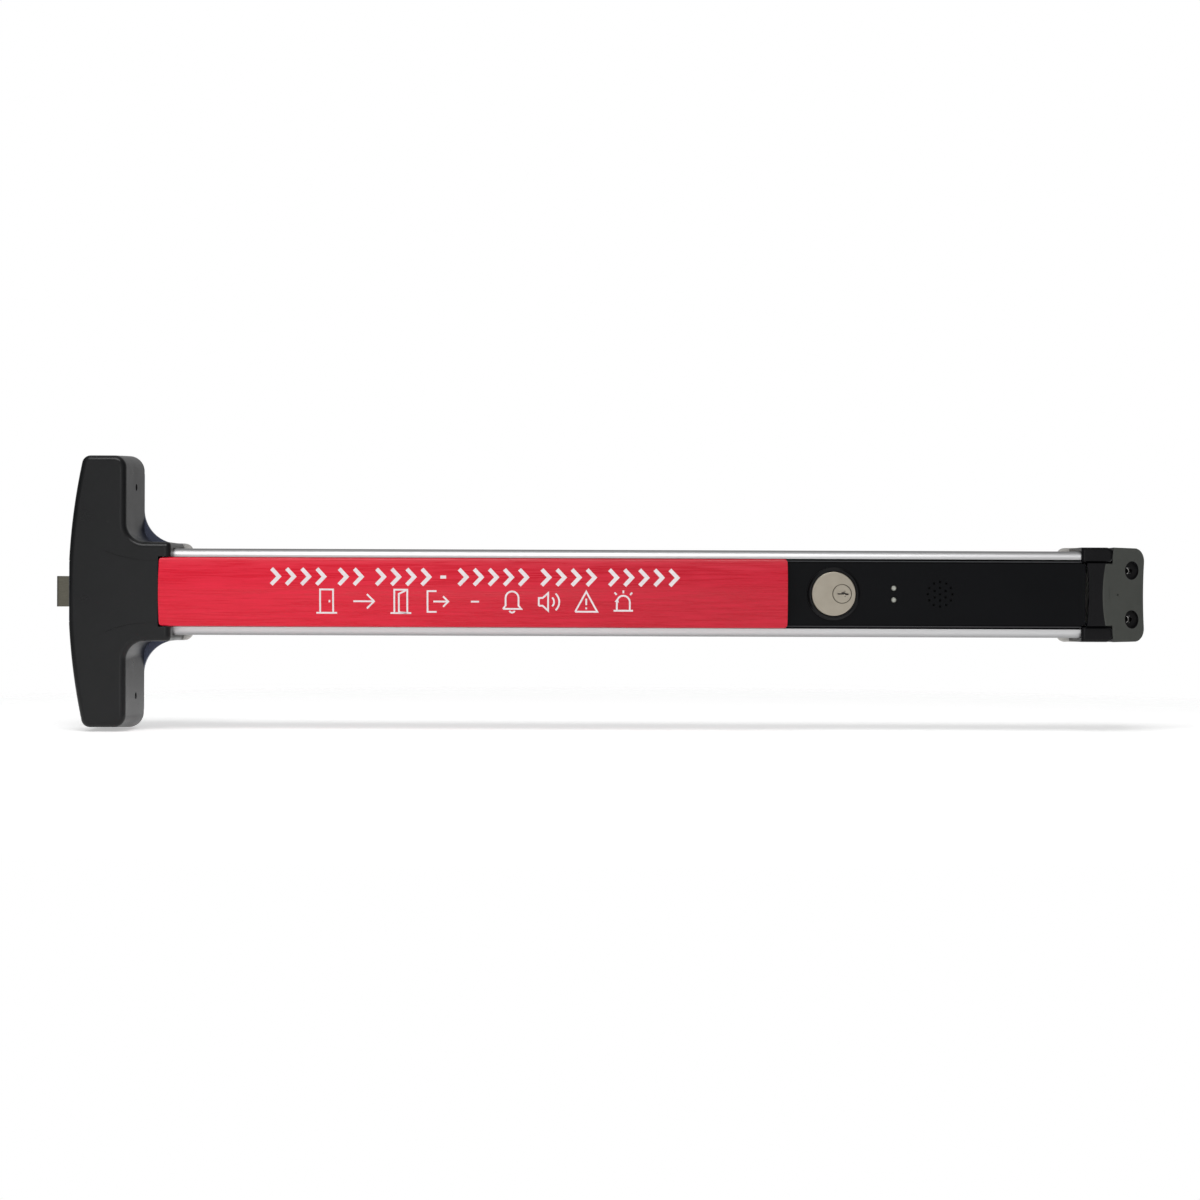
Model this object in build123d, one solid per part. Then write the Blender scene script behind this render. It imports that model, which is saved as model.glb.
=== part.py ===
from build123d import *
import math
import os

# Panic exit bar for the inside face of a door, in millimetres.
# X runs along the bar from the latch head to the end cap, Z is up, and +Y goes into the door.
# The door's face is Y = 0. A "depth" is a distance out from the door, so it lies at Y = -depth.
# The origin is the middle of the head's four bolt holes, on the door's face.

# Rail
RAIL_LENGTH = 740.8
RAIL_HALF = 33.75         # half of the rail's height
RAIL_FRONT = 50.0         # depth of the rail's lips
RAIL_WALL = 2.0
RAIL_CORNER = 6.5
PLATE = 4.0               # base plates on the door

# Push pad
PAD_LEFT = 46.2
PAD_LENGTH = 485.6
PAD_HALF = 26.7
PAD_PROUD = 18.5          # top of the crown, out from the rail's lips
PAD_BULGE = 4.5
PAD_WALL = 2.0
PAD_TRAVEL = 14.0
PAD_CORNER = 3.0
PAD_RIB_Z = 9.5           # ribs that the pad's screws bite into

# Head and latch
HEAD_HEIGHT = 210.0
HEAD_LEFT = -24.4
HEAD_RIGHT = 20.0
HEAD_BOW = 480.0          # radius of the bowed left edge
HEAD_DRAFT = 3.0          # degrees that the walls lean outwards towards the door
COVER_WALL = 2.2
NECK_LENGTH = 8.6         # how far the neck reaches past the pad's left end
CREASE_R = 89.0           # the two shallow creases beside the pad's pocket
BOLT_X = 20.0             # head bolt pattern, along the bar and upright
BOLT_Z = HEAD_HEIGHT - 50.0
BOLT_R = 3.25
LATCH_HALF = 12.0
LATCH_X = -17.0           # latch pivot
LATCH_DEPTH = 29.0
LATCH_R = 23.5
LATCH_TURN = 78.0
LATCH_PIN_ARM = 7.0
BRACKET_WALL = 2.6        # latch bracket
BRACKET_SOLE = 9.0        # width of its feet on the base plate

# Bell cranks and pull rod
CRANK_FROM_LEFT = 113.8   # crank pivots, in from the pad's two ends
CRANK_FROM_RIGHT = 55.8
CRANK_ARM = 30.0          # from the pivot to the pad's link pin
ROD_HALF = 2.0            # half of the rod's thickness
ROD_HEIGHT = 8.5
ROD_DEPTH = 9.0           # underside of the rod
ROD_PIN_RISE = 4.12       # from there to the cranks' rod pins half way through their swing
SPRING_Z = 16.5           # return springs, above and below the rod
SPRING_R = 5.0
SPRING_WIRE = 0.8

# Alarm module, each place counted from the piece to its left
ALARM_PROUD = 4.0         # front of the cover, out from the rail's lips
ALARM_PLATE = 2.5
ALARM_EDGE = 3.3          # from the rail's lip in to the raised face
LOCK_FROM_PAD = 36.6
LOCK_FACE_R = 17.15
LOCK_BODY_R = 14.4
LOCK_LENGTH = 31.0
PLUG_OFFSET = 6.4
PLUG_R = 7.15
LAMPS_FROM_LOCK = 46.9
LAMP_SPACING = 9.1
LAMP_R = 2.5
GRILLE_FROM_LAMPS = 35.9
BATTERY_FROM_END = 70.0
BATTERY_LENGTH = 48.5

# End cap and its bracket
CAP_OVERLAP = 8.5         # how much of the rail's end the cap covers
CAP_LENGTH = 58.1
CAP_PROUD = 7.0           # top of the ridge, out from the rail's lips
RIDGE_INSET = 3.5
RIDGE_LENGTH = 12.5
SHOULDER_LENGTH = 24.5
SHOULDER_IN = 24.4
END_BOLT_INSET = 12.8     # door screws, in from the cap's right end
END_BOLT_Z = 38.6
END_BOLT_R = 2.75
CAP_WALL = 2.4
DISH_R = 170.0            # hollow of the cap's slope, across it

# Fits
RUN = 0.05                # radial clearance of a pin that turns in its hole
LOOSE = 0.3               # clearance between parts that pass each other
SNUG = 0.02               # clearance of a fixed pin or screw
PAD_GAP = 0.5             # between the pad and each lip of the rail

# What follows from the sizes above
RAIL_LIP_HALF = PAD_HALF + PAD_GAP
PAD_RIGHT = PAD_LEFT + PAD_LENGTH
PAD_FRONT = RAIL_FRONT + PAD_PROUD
HEAD_DEPTH = PAD_FRONT - 3.5
NECK_END = PAD_LEFT + NECK_LENGTH
NECK_HALF = RAIL_HALF + 4.65
STEM_END = NECK_END + 7.2
RAIL_LEFT = NECK_END - 25.6
RAIL_RIGHT = RAIL_LEFT + RAIL_LENGTH
COVER_SCREW_Z = HEAD_HEIGHT / 2 - 23
COVER_SCREW_DEPTH = PLATE + 26
BRACKET_EAR = LATCH_HALF + 0.4            # inner faces of the latch bracket's ears
BRACKET_OUT = BRACKET_EAR + BRACKET_WALL
BRACKET_FOOT = BRACKET_OUT + BRACKET_SOLE
NOTCH_HALF = BRACKET_FOOT - 0.5           # half of the shallow notch beside the latch
CRANK_LEFT = PAD_LEFT + CRANK_FROM_LEFT
CRANK_RIGHT = PAD_RIGHT - CRANK_FROM_RIGHT
CAP_LEFT = RAIL_RIGHT - CAP_OVERLAP
CAP_RIGHT = CAP_LEFT + CAP_LENGTH
CAP_HALF = RAIL_HALF + 3.05
CAP_FRONT = RAIL_FRONT + CAP_PROUD
RIDGE_LEFT = CAP_LEFT + RIDGE_INSET
RIDGE_RIGHT = RIDGE_LEFT + RIDGE_LENGTH
SHOULDER_RIGHT = CAP_LEFT + SHOULDER_LENGTH
END_BOLT_X = CAP_RIGHT - END_BOLT_INSET
BRACKET_LEFT = CAP_LEFT - 9.5
BRACKET_HALF = RAIL_HALF + 3.65
ALARM_FRONT = RAIL_FRONT + ALARM_PROUD
ALARM_HALF = RAIL_LIP_HALF - ALARM_EDGE
ALARM_RIGHT = RIDGE_LEFT - 0.8
LOCK_X = PAD_RIGHT + LOCK_FROM_PAD
LAMP_X = LOCK_X + LAMPS_FROM_LOCK
GRILLE_X = LAMP_X + GRILLE_FROM_LAMPS
BATTERY_LEFT = RAIL_RIGHT - BATTERY_FROM_END
CRANK_HALF_TURN = math.asin(PAD_TRAVEL / 2 / CRANK_ARM)
ROD_TRAVEL = 2 * LATCH_PIN_ARM * math.sin(math.radians(LATCH_TURN / 2))
ROD_ARM = ROD_TRAVEL / 2 / math.sin(CRANK_HALF_TURN)
CRANK_DEPTH = ROD_DEPTH + ROD_PIN_RISE + ROD_ARM
PAD_PLATE = PAD_FRONT - PAD_BULGE - 5.4   # underside of the pad brackets' plates
PAD_FOOT = RAIL_FRONT - RAIL_WALL - 1.8   # front of the pad's feet, under the rail's lips
RAIL_FLOOR = PLATE + RAIL_WALL
PIVOT_R = 2.5
LINK_R = 2.0
EAR_IN = ROD_HALF + 0.4 + PIVOT_R + 0.5   # inner faces of the crank bracket's ears
EAR_WALL = 2.0
CHEEK_IN = ROD_HALF + 0.4                 # inner faces of the crank's two cheeks
CHEEK_OUT = EAR_IN - 0.4


def block(x0, x1, d0, d1, z0, z1):
    """Box between two X values, two depths and two heights."""
    middle = Pos((x0 + x1) / 2, -(d0 + d1) / 2, (z0 + z1) / 2)
    return middle * Box(x1 - x0, d1 - d0, z1 - z0)


def rod_z(x, depth, radius, z0, z1):
    """Round bar along Z."""
    return Pos(x, -depth, (z0 + z1) / 2) * Cylinder(radius, z1 - z0)


def rod_y(x, z, radius, d0, d1):
    """Round bar along Y, between two depths."""
    return Pos(x, -(d0 + d1) / 2, z) * Rot(90, 0, 0) * Cylinder(radius, d1 - d0)


def rod_x(x0, x1, depth, z, radius):
    """Round bar along X."""
    return Pos((x0 + x1) / 2, -depth, z) * Rot(0, 90, 0) * Cylinder(radius, x1 - x0)


def plan(points, z0, z1):
    """Plate with its outline in plan, given as (x, depth) points, between two heights."""
    outline = Polygon(*[(x, -depth) for x, depth in points], align=None)
    return extrude(Pos(0, 0, z0) * outline, z1 - z0, dir=(0, 0, 1))


def elevation(face, d0, d1):
    """Plate with its outline drawn in X and Z, between two depths."""
    return extrude(Plane.XZ.offset(d0) * face, d1 - d0, dir=(0, -1, 0))


def rectangle(x0, x1, z0, z1):
    """Flat rectangle in X and Z."""
    return Pos((x0 + x1) / 2, (z0 + z1) / 2) * Rectangle(x1 - x0, z1 - z0)


def round_corners(face, radius, near_x=None):
    """Face with its corners rounded, or only those at one X."""
    corners = face.vertices()
    if near_x is not None:
        corners = [v for v in corners if abs(v.X - near_x) < 0.01]
    return fillet(corners, radius)


def slot_z(x, depth, radius, half_x, half_depth, half_z):
    """Cutter for a slot that a cross pin slides in, along X or along the depth."""
    if half_x > half_depth:
        run = SlotOverall(2 * (half_x + radius), 2 * radius)
    else:
        run = SlotOverall(2 * (half_depth + radius), 2 * radius, rotation=90)
    return Pos(x, -depth, -half_z) * extrude(run, 2 * half_z)


def screw_y(x, z, head_r, head_depth, shaft_r, shaft_end):
    """Pan-head screw along Y with a cross slot; its head starts at head_depth and faces out."""
    head = rod_y(x, z, head_r, head_depth, head_depth + head_r * 0.7)
    head = fillet(head.edges().filter_by(GeomType.CIRCLE).sort_by(Axis.Y)[0], head_r * 0.35)
    shaft = rod_y(x, z, shaft_r, shaft_end, head_depth + 0.1)
    top = head_depth + head_r * 0.7
    across = block(x - head_r * 0.6, x + head_r * 0.6, top - 0.5, top + 1, z - 0.25, z + 0.25)
    along = block(x - 0.25, x + 0.25, top - 0.5, top + 1, z - head_r * 0.6, z + head_r * 0.6)
    return head + shaft - across - along


def save(name, shape):
    """Write one node, as a compound when it has more than one solid."""
    solids = shape.solids()
    body = solids[0] if len(solids) == 1 else Compound(children=list(solids))
    body.label = name
    export_step(body, f"parts/{name}.step")


# ---------------------------------------------------------------- latch head

def head_outline(inset, draft_depth):
    """Outline of the head cover, inset from its outside; the draft lets only the lobes grow."""
    grow = math.tan(math.radians(HEAD_DRAFT)) * draft_depth - inset
    half = HEAD_HEIGHT / 2 + grow
    bow = HEAD_BOW + grow
    lobes = Pos(HEAD_LEFT + HEAD_BOW, 0) * Circle(bow)
    lobes = lobes & rectangle(HEAD_LEFT - 2 * COVER_WALL - 5, HEAD_RIGHT + grow, -half, half)
    neck_half, neck_end_x = NECK_HALF - inset, NECK_END - inset
    neck = rectangle(0, neck_end_x, -neck_half, neck_half)
    face = (lobes + neck).faces()[0]
    corner = face.vertices().sort_by(Axis.X)
    left = [v for v in corner if v.X < 0]
    lobe_right = [v for v in corner if v.X > 0 and abs(v.Y) > half - 0.01]
    inner = [v for v in corner if abs(v.X - HEAD_RIGHT - grow) < 0.01 and abs(v.Y) < half - 0.01]
    neck_end = [v for v in corner if abs(v.X - neck_end_x) < 0.01]
    face = fillet(left, 6.5 + grow)
    face = fillet(matching(face, lobe_right), 9 + grow)
    face = fillet(matching(face, inner), 15 - grow)
    return fillet(matching(face, neck_end), 3 - inset / 2)


def matching(face, corners):
    """The face's own corners at the places of the given ones."""
    return [v for v in face.vertices()
            if any((Vector(v) - Vector(c)).length < 0.01 for c in corners)]


def head_shell(inset, front):
    """Tapered solid of the head cover from its front to the base plate."""
    outer = Plane.XZ.offset(front) * head_outline(inset, HEAD_DEPTH - front)
    back = Plane.XZ.offset(PLATE) * head_outline(inset, HEAD_DEPTH - PLATE)
    return loft([outer.faces()[0], back.faces()[0]], ruled=True)


def pad_pocket_half():
    return PAD_HALF + 0.6


def head_cover():
    """Black moulded cover: bowed lobes, a neck with a pocket for the pad's end, a side window."""
    outer = head_shell(0, HEAD_DEPTH)
    outer = fillet(outer.faces().sort_by(Axis.Y)[0].edges(), 4.5)
    inner = head_shell(COVER_WALL, HEAD_DEPTH - COVER_WALL - 0.3)
    inner = fillet(inner.faces().sort_by(Axis.Y)[0].edges(), 2.2)
    inner = inner - block(PAD_LEFT - 3.2, NECK_END + 9, RAIL_FRONT + LOOSE, HEAD_DEPTH, -60, 60)
    cover = outer - inner
    half = pad_pocket_half()
    cover = cover - block(PAD_LEFT - 0.8, NECK_END + 9, 0, HEAD_DEPTH + 1, -half, half)
    rail_half = RAIL_HALF + LOOSE
    cover = cover - block(RAIL_LEFT, NECK_END + 9, 0, RAIL_FRONT + LOOSE, -rail_half, rail_half)
    window_top = HEAD_DEPTH - 5.5
    cover = cover - block(HEAD_LEFT - 9, HEAD_LEFT + 5, 0, window_top, -NOTCH_HALF, NOTCH_HALF)
    notch = Polygon(
        (HEAD_LEFT - 9, NOTCH_HALF + 10.2),
        (HEAD_LEFT + 1.2, NOTCH_HALF),
        (HEAD_LEFT + 1.2, -NOTCH_HALF),
        (HEAD_LEFT - 9, -NOTCH_HALF - 10.2),
        align=None,
    )
    cover = cover - elevation(notch, window_top - 0.1, HEAD_DEPTH + 1)
    for z in (-COVER_SCREW_Z, COVER_SCREW_Z):
        cover = cover - rod_x(HEAD_RIGHT - 5, HEAD_RIGHT + 9, COVER_SCREW_DEPTH, z, 2.7)
    for side in (-1, 1):
        cover = cover - elevation(crease(side), HEAD_DEPTH - 0.5, HEAD_DEPTH + 1)
    return cover


def crease(side):
    """Thin arc beside the pad's pocket, where the mould's slide met the front."""
    top = PAD_HALF - 2.7
    middle = Pos(PAD_LEFT - 6, side * (top + CREASE_R))
    ring = middle * (Circle(CREASE_R + 0.3) - Circle(CREASE_R - 0.3))
    z0, z1 = sorted((side * (top - 1), side * (top + 12)))
    return ring & rectangle(HEAD_LEFT + 29, PAD_LEFT + 2, z0, z1)


def lug_face():
    """X of the outer face of the base's side lugs, inside the cover's wall."""
    lean = math.tan(math.radians(HEAD_DRAFT)) * (HEAD_DEPTH - COVER_SCREW_DEPTH - 9)
    return HEAD_RIGHT + lean - COVER_WALL - 0.4


def head_base():
    """T-shaped steel base plate with curved webs, bolt holes and two side lugs."""
    right = HEAD_RIGHT + 2.6
    lobes = rectangle(HEAD_LEFT + 2.4, right, 4 - HEAD_HEIGHT / 2, HEAD_HEIGHT / 2 - 4)
    stem_half = NECK_HALF + 0.2
    stem = rectangle(0, STEM_END, -stem_half, stem_half)
    face = (lobes + stem).faces()[0]
    webs = [v for v in face.vertices() if abs(v.X - right) < 0.01 and abs(v.Y) < stem_half + 1]
    face = fillet(webs, 27)
    face = round_corners(face, 7, STEM_END)
    face = fillet([v for v in face.vertices() if abs(v.Y) > HEAD_HEIGHT / 2 - 5], 8)
    plate = elevation(face, 0, PLATE)
    for z in (-COVER_SCREW_Z, COVER_SCREW_Z):
        lug = block(lug_face() - 2.5, lug_face(), PLATE, COVER_SCREW_DEPTH + 9, z - 9, z + 9)
        lug = fillet(lug.edges().filter_by(Axis.X).group_by(Axis.Y)[0], 5)
        plate = plate + lug
        plate = plate - rod_x(lug_face() - 4, lug_face() + 1, COVER_SCREW_DEPTH, z, 1.6)
    for x in (-BOLT_X / 2, BOLT_X / 2):
        for z in (-BOLT_Z / 2, BOLT_Z / 2):
            plate = plate - rod_y(x, z, BOLT_R, -1, PLATE + 1)
    for x, z in bracket_screw_places():
        plate = plate - rod_y(x, z, 2.0, -1, PLATE + 1)
    for x, z in rail_screw_places()[:2]:
        plate = plate - rod_y(x, z, 2.0, -1, PLATE + 1)
    return plate


def cover_screws():
    """Two short screws that hold the cover to the lugs, heads sunk in the side wall."""
    screws = []
    for z in (-COVER_SCREW_Z, COVER_SCREW_Z):
        head = rod_x(lug_face() + 0.05, lug_face() + 1.4, COVER_SCREW_DEPTH, z, 2.5)
        head = head - block(lug_face() + 0.7, lug_face() + 3, 29.7, 30.3, z - 1.6, z + 1.6)
        shaft = rod_x(lug_face() - 5, lug_face() + 0.3, COVER_SCREW_DEPTH, z, 1.6 - SNUG)
        screws.append(head + shaft)
    return screws[0] + screws[1]


def bracket_screw_places():
    middle = BRACKET_OUT + 5
    return [(x, z) for x in (-14, 8) for z in (-middle, middle)]


def latch_bracket():
    """Folded steel bracket: two ears, feet on the base plate and a windowed side flange."""
    top = LATCH_DEPTH + 9
    ears = plan([(-22.6, PLATE), (12, PLATE), (12, 20), (-8, top), (-22.6, top)], BRACKET_EAR, BRACKET_OUT)
    bracket = ears + mirror(ears, Plane.XY)
    for side in (-1, 1):
        z0, z1 = sorted((side * (BRACKET_OUT - 0.1), side * BRACKET_FOOT))
        bracket = bracket + block(-22.6, 12, PLATE, PLATE + 2, z0, z1)
    flange_half = NOTCH_HALF - LOOSE
    flange = block(HEAD_LEFT, HEAD_LEFT + 1.9, PLATE, HEAD_DEPTH - 5.9, -flange_half, flange_half)
    flange = flange - block(-30, -20, PLATE - 1, LATCH_DEPTH + 5, -BRACKET_EAR, BRACKET_EAR)
    bracket = bracket + flange
    bracket = bracket - rod_z(LATCH_X, LATCH_DEPTH, PIVOT_R + SNUG, -BRACKET_FOOT, BRACKET_FOOT)
    for x, z in bracket_screw_places():
        bracket = bracket - rod_y(x, z, 2.1, PLATE - 1, PLATE + 3)
    return bracket


def latch_bracket_screws():
    screws = [screw_y(x, z, 3.4, PLATE + 2, 2.0 - SNUG, 0.4) for x, z in bracket_screw_places()]
    return screws[0] + screws[1:]


def latch_point(radius, degrees, lift=0.0):
    """Point (x, depth) at a radius and an angle from -X towards the door, lifted towards the front."""
    turn = math.radians(degrees)
    return (LATCH_X - radius * math.cos(turn), LATCH_DEPTH - radius * math.sin(turn) + lift)


def latch_bolt():
    """Quadrant bolt: flat front face, curved back, a central slot for the retractor's fork."""
    front = 2.5
    nose = math.sqrt(LATCH_R**2 - front**2)
    arc = [latch_point(LATCH_R, 68 * step / 16) for step in range(17)]
    outline = [(LATCH_X + 3, LATCH_DEPTH + front), (LATCH_X - nose + 1.2, LATCH_DEPTH + front)]
    outline += [(LATCH_X - nose, LATCH_DEPTH + front - 1.2)] + arc
    outline += [(LATCH_X - 1, LATCH_DEPTH - 8), (LATCH_X + 4, LATCH_DEPTH - 3)]
    bolt = plan(outline, -LATCH_HALF, LATCH_HALF)
    bolt = bolt + rod_z(LATCH_X, LATCH_DEPTH, 5.0, -LATCH_HALF, LATCH_HALF)
    bolt = fillet(bolt.edges().filter_by(Axis.Z).sort_by(Axis.X)[0:2], 0.8)
    sector = [(LATCH_X + 3, LATCH_DEPTH - 1.5), (LATCH_X - 19, LATCH_DEPTH - 1.5)]
    sector += [latch_point(19.5, 8 + 42 * step / 10) for step in range(11)]
    sector += [latch_point(40, 52), (LATCH_X + 12, -4), (LATCH_X + 12, LATCH_DEPTH - 1.5)]
    slot = plan(sector, -2.75, 2.75) + rod_z(LATCH_X, LATCH_DEPTH, 8.0, -2.75, 2.75)
    bolt = bolt - slot
    bolt = bolt - rod_z(LATCH_X, LATCH_DEPTH, PIVOT_R + RUN, -BRACKET_FOOT, BRACKET_FOOT)
    x, depth = drive_pin_place()
    return bolt - rod_z(x, depth, 1.8, -LATCH_HALF + 2, LATCH_HALF - 2)


def drive_pin_place():
    """The drive pin at rest: half a turn before it stands straight behind the pivot."""
    return latch_point(LATCH_PIN_ARM, 90 - LATCH_TURN / 2)


def latch_drive_pin():
    x, depth = drive_pin_place()
    return rod_z(x, depth, 1.8 - SNUG, -LATCH_HALF + 2, LATCH_HALF - 2)


def latch_pin():
    """Pivot pin of the bolt, held in the bracket's ears, long enough to carry the spring."""
    return rod_z(LATCH_X, LATCH_DEPTH, PIVOT_R, -BRACKET_OUT - 1, BRACKET_OUT + 7)


def coil(radius, wire, pitch, turns):
    """Coil of round wire standing on its own Z axis."""
    path = Helix(pitch=pitch, height=pitch * turns, radius=radius)
    start = path @ 0
    section = Plane(origin=start, z_dir=path % 0) * Circle(wire)
    return sweep(section, path=path, is_frenet=True)


def latch_spring():
    """Torsion spring on the upper end of the bolt's pivot pin."""
    wire = 0.7
    foot = BRACKET_OUT + wire + 0.1
    return Pos(LATCH_X, -LATCH_DEPTH, foot) * coil(PIVOT_R + 1.4, wire, 1.5, 3.5)


def latch_retractor():
    """Steel fork between the bolt's cheeks, forked again behind to take the rod's end."""
    pin_x, _ = drive_pin_place()
    gap = 1.8 + 0.25
    low, high = 15.5, 24.3
    mouth = LATCH_DEPTH - LATCH_PIN_ARM - 1.8 - LOOSE
    fork = [
        (pin_x - gap - 2.5, low), (9, low), (9, high - 2), (pin_x + gap, high - 2),
        (pin_x + gap, mouth), (pin_x - gap, mouth), (pin_x - gap, high), (pin_x - gap - 2.5, high),
    ]
    plate = plan(fork, -2.3, 2.3)
    yoke = block(7, 26, ROD_DEPTH, 21, -4.6, 4.6)
    yoke = fillet(yoke.edges().filter_by(Axis.Z), 1.2)
    slot = ROD_HALF + 0.15
    yoke = yoke - block(9, 27, ROD_DEPTH - 1, ROD_DEPTH + ROD_HEIGHT + LOOSE, -slot, slot)
    yoke = yoke - rod_z(17, ROD_DEPTH + ROD_HEIGHT / 2, PIVOT_R + SNUG, -9, 9)
    return plate + yoke


def retractor_rivet():
    return rod_z(17, ROD_DEPTH + ROD_HEIGHT / 2, PIVOT_R, -5.4, 5.4)


# ---------------------------------------------------------------- rail

def rail():
    """Extruded channel with rounded lips, open at the front."""
    def section(inset, corner):
        depth = RAIL_FRONT - PLATE - 2 * inset
        face = Pos(-(PLATE + RAIL_FRONT) / 2, 0) * Rectangle(depth, 2 * (RAIL_HALF - inset))
        front = face.vertices().group_by(Axis.X)[0]
        return fillet(front, corner)

    profile = section(0, RAIL_CORNER) - section(RAIL_WALL, RAIL_CORNER - RAIL_WALL)
    mouth = Pos(-RAIL_FRONT, 0) * Rectangle(4 * RAIL_WALL, 2 * RAIL_LIP_HALF)
    profile = profile - mouth
    bar = extrude(Plane.YZ.offset(RAIL_LEFT) * profile, RAIL_RIGHT - RAIL_LEFT)
    for x, z in rail_screw_places() + crank_screw_places() + guide_screw_places():
        bar = bar - rod_y(x, z, 2.1, PLATE - 1, RAIL_FLOOR + 1)
    return bar


def rail_screw_places():
    """Two screws into the head's base, then two into the end bracket."""
    return [(x, z) for x in (STEM_END - 14, RAIL_RIGHT - 10) for z in (-15.0, 15.0)]


def rail_screws():
    screws = [screw_y(x, z, 3.2, RAIL_FLOOR, 2.0 - SNUG, 0.4) for x, z in rail_screw_places()]
    return screws[0] + screws[1:]


# ---------------------------------------------------------------- cranks and rod

def crank_screw_places():
    places = []
    for pivot in (CRANK_LEFT, CRANK_RIGHT):
        places += [(pivot + 12, z) for z in (-12.0, 12.0)]
        places += [(pivot - 22 - CRANK_ARM, 0.0 + z) for z in (-8.0, 8.0)]
    return places


def guide_x():
    return (CRANK_LEFT + CRANK_RIGHT) / 2 - 10


def guide_screw_places():
    return [(guide_x(), z) for z in (-12.0, 12.0)]


def crank_bracket(pivot):
    """Folded bracket on the rail's floor with two ears for one crank, and two spring seats."""
    base_end = pivot - CRANK_ARM - 28
    floor = RAIL_FLOOR
    top = CRANK_DEPTH + 6
    ear = plan([(pivot - 12, floor), (pivot + 18, floor), (pivot + 8, top), (pivot - 6, top)],
               EAR_IN, EAR_IN + EAR_WALL)
    bracket = ear + mirror(ear, Plane.XY)
    base = block(base_end, pivot + 18, floor, floor + 2, -24, 24)
    base = fillet(base.edges().filter_by(Axis.Y), 4)
    bracket = bracket + base
    for side in (-1, 1):
        bracket = bracket + rod_y(spring_x(pivot), side * SPRING_Z, 3.2, floor + 1, floor + 6)
    bracket = bracket - rod_z(pivot, CRANK_DEPTH, PIVOT_R + SNUG, -20, 20)
    for x, z in crank_screw_places():
        bracket = bracket - rod_y(x, z, 2.1, floor - 1, floor + 3)
    return bracket


def crank_bracket_screws():
    screws = [screw_y(x, z, 3.2, RAIL_FLOOR + 2, 2.0 - SNUG, PLATE + 0.2)
              for x, z in crank_screw_places()]
    return screws[0] + screws[1:]


def crank_pivot(pivot):
    """Pin with a head, fixed in the bracket's ears."""
    end = EAR_IN + EAR_WALL
    return rod_z(pivot, CRANK_DEPTH, PIVOT_R, -end - 1.5, end) + rod_z(pivot, CRANK_DEPTH, 4, end, end + 1.2)


def pad_pin_place(pivot):
    """Link pin under the pad at rest, in front of the pivot's level by half the travel."""
    return (pivot - CRANK_ARM * math.cos(CRANK_HALF_TURN), CRANK_DEPTH + PAD_TRAVEL / 2)


def rod_pin_place(pivot):
    """Link pin in the rod at rest, half the rod's travel before it is straight behind the pivot."""
    return (pivot - ROD_TRAVEL / 2, CRANK_DEPTH - ROD_ARM * math.cos(CRANK_HALF_TURN))


def arm(start, end, width, z0, z1):
    """Flat arm with round ends between two (x, depth) points."""
    run_x, run_y = end[0] - start[0], start[1] - end[1]
    length = math.hypot(run_x, run_y)
    flat = SlotOverall(length + 2 * width, 2 * width, rotation=math.degrees(math.atan2(run_y, run_x)))
    middle = Pos((start[0] + end[0]) / 2, -(start[1] + end[1]) / 2, z0)
    return middle * extrude(flat, z1 - z0)


def crank(pivot):
    """Bell crank of two cheeks on one hub; the long arm takes the pad, the short one the rod."""
    centre = (pivot, CRANK_DEPTH)
    long_end, short_end = pad_pin_place(pivot), rod_pin_place(pivot)
    cheek = arm(centre, long_end, 4.6, CHEEK_IN, CHEEK_OUT) + arm(centre, short_end, 4.2, CHEEK_IN, CHEEK_OUT)
    body = cheek + mirror(cheek, Plane.XY) + rod_z(pivot, CRANK_DEPTH, 5, -CHEEK_IN, CHEEK_IN)
    body = body - rod_z(pivot, CRANK_DEPTH, PIVOT_R + RUN, -20, 20)
    body = body - rod_z(long_end[0], long_end[1], LINK_R + SNUG, -20, 20)
    return body - rod_z(short_end[0], short_end[1], LINK_R + SNUG, -20, 20)


def crank_pins(pivot):
    """The crank's two link pins."""
    pins = [rod_z(x, depth, LINK_R, -CHEEK_OUT, CHEEK_OUT)
            for x, depth in (pad_pin_place(pivot), rod_pin_place(pivot))]
    return pins[0] + pins[1]


def pull_rod():
    """Flat steel strip from the retractor to the far crank, with a slot at each crank."""
    top = ROD_DEPTH + ROD_HEIGHT
    strip = block(9.5, CRANK_RIGHT + 14, ROD_DEPTH, top, -ROD_HALF, ROD_HALF)
    strip = fillet(strip.edges().filter_by(Axis.Z), 2)
    strip = strip - rod_z(17, ROD_DEPTH + ROD_HEIGHT / 2, PIVOT_R + SNUG, -9, 9)
    for pivot in (CRANK_LEFT, CRANK_RIGHT):
        x, _ = rod_pin_place(pivot)
        rise = ROD_ARM * (1 - math.cos(CRANK_HALF_TURN))
        middle = CRANK_DEPTH - ROD_ARM + rise / 2
        strip = strip - slot_z(x, middle, LINK_R + 0.12, 0, rise / 2 + 0.1, 9)
    return strip


def rod_guide():
    """Plastic saddle that keeps the rod at its height half way along."""
    x, floor = guide_x(), RAIL_FLOOR
    saddle = block(x - 9, x + 9, floor, floor + 16, -7, 7)
    foot = block(x - 9, x + 9, floor, floor + 2.5, -17, 17)
    foot = fillet(foot.edges().filter_by(Axis.Y), 3)
    gap = ROD_HALF + LOOSE
    top = ROD_DEPTH + ROD_HEIGHT + LOOSE
    guide = saddle + foot - block(x - 20, x + 20, ROD_DEPTH - LOOSE, top, -gap, gap)
    for place_x, z in guide_screw_places():
        guide = guide - rod_y(place_x, z, 2.1, floor - 1, floor + 4)
    return guide


def rod_guide_screws():
    screws = [screw_y(x, z, 3.2, RAIL_FLOOR + 2.5, 2.0 - SNUG, PLATE + 0.2)
              for x, z in guide_screw_places()]
    return screws[0] + screws[1]


# ---------------------------------------------------------------- push pad

def spring_x(pivot):
    return pivot - CRANK_ARM - 10


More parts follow.
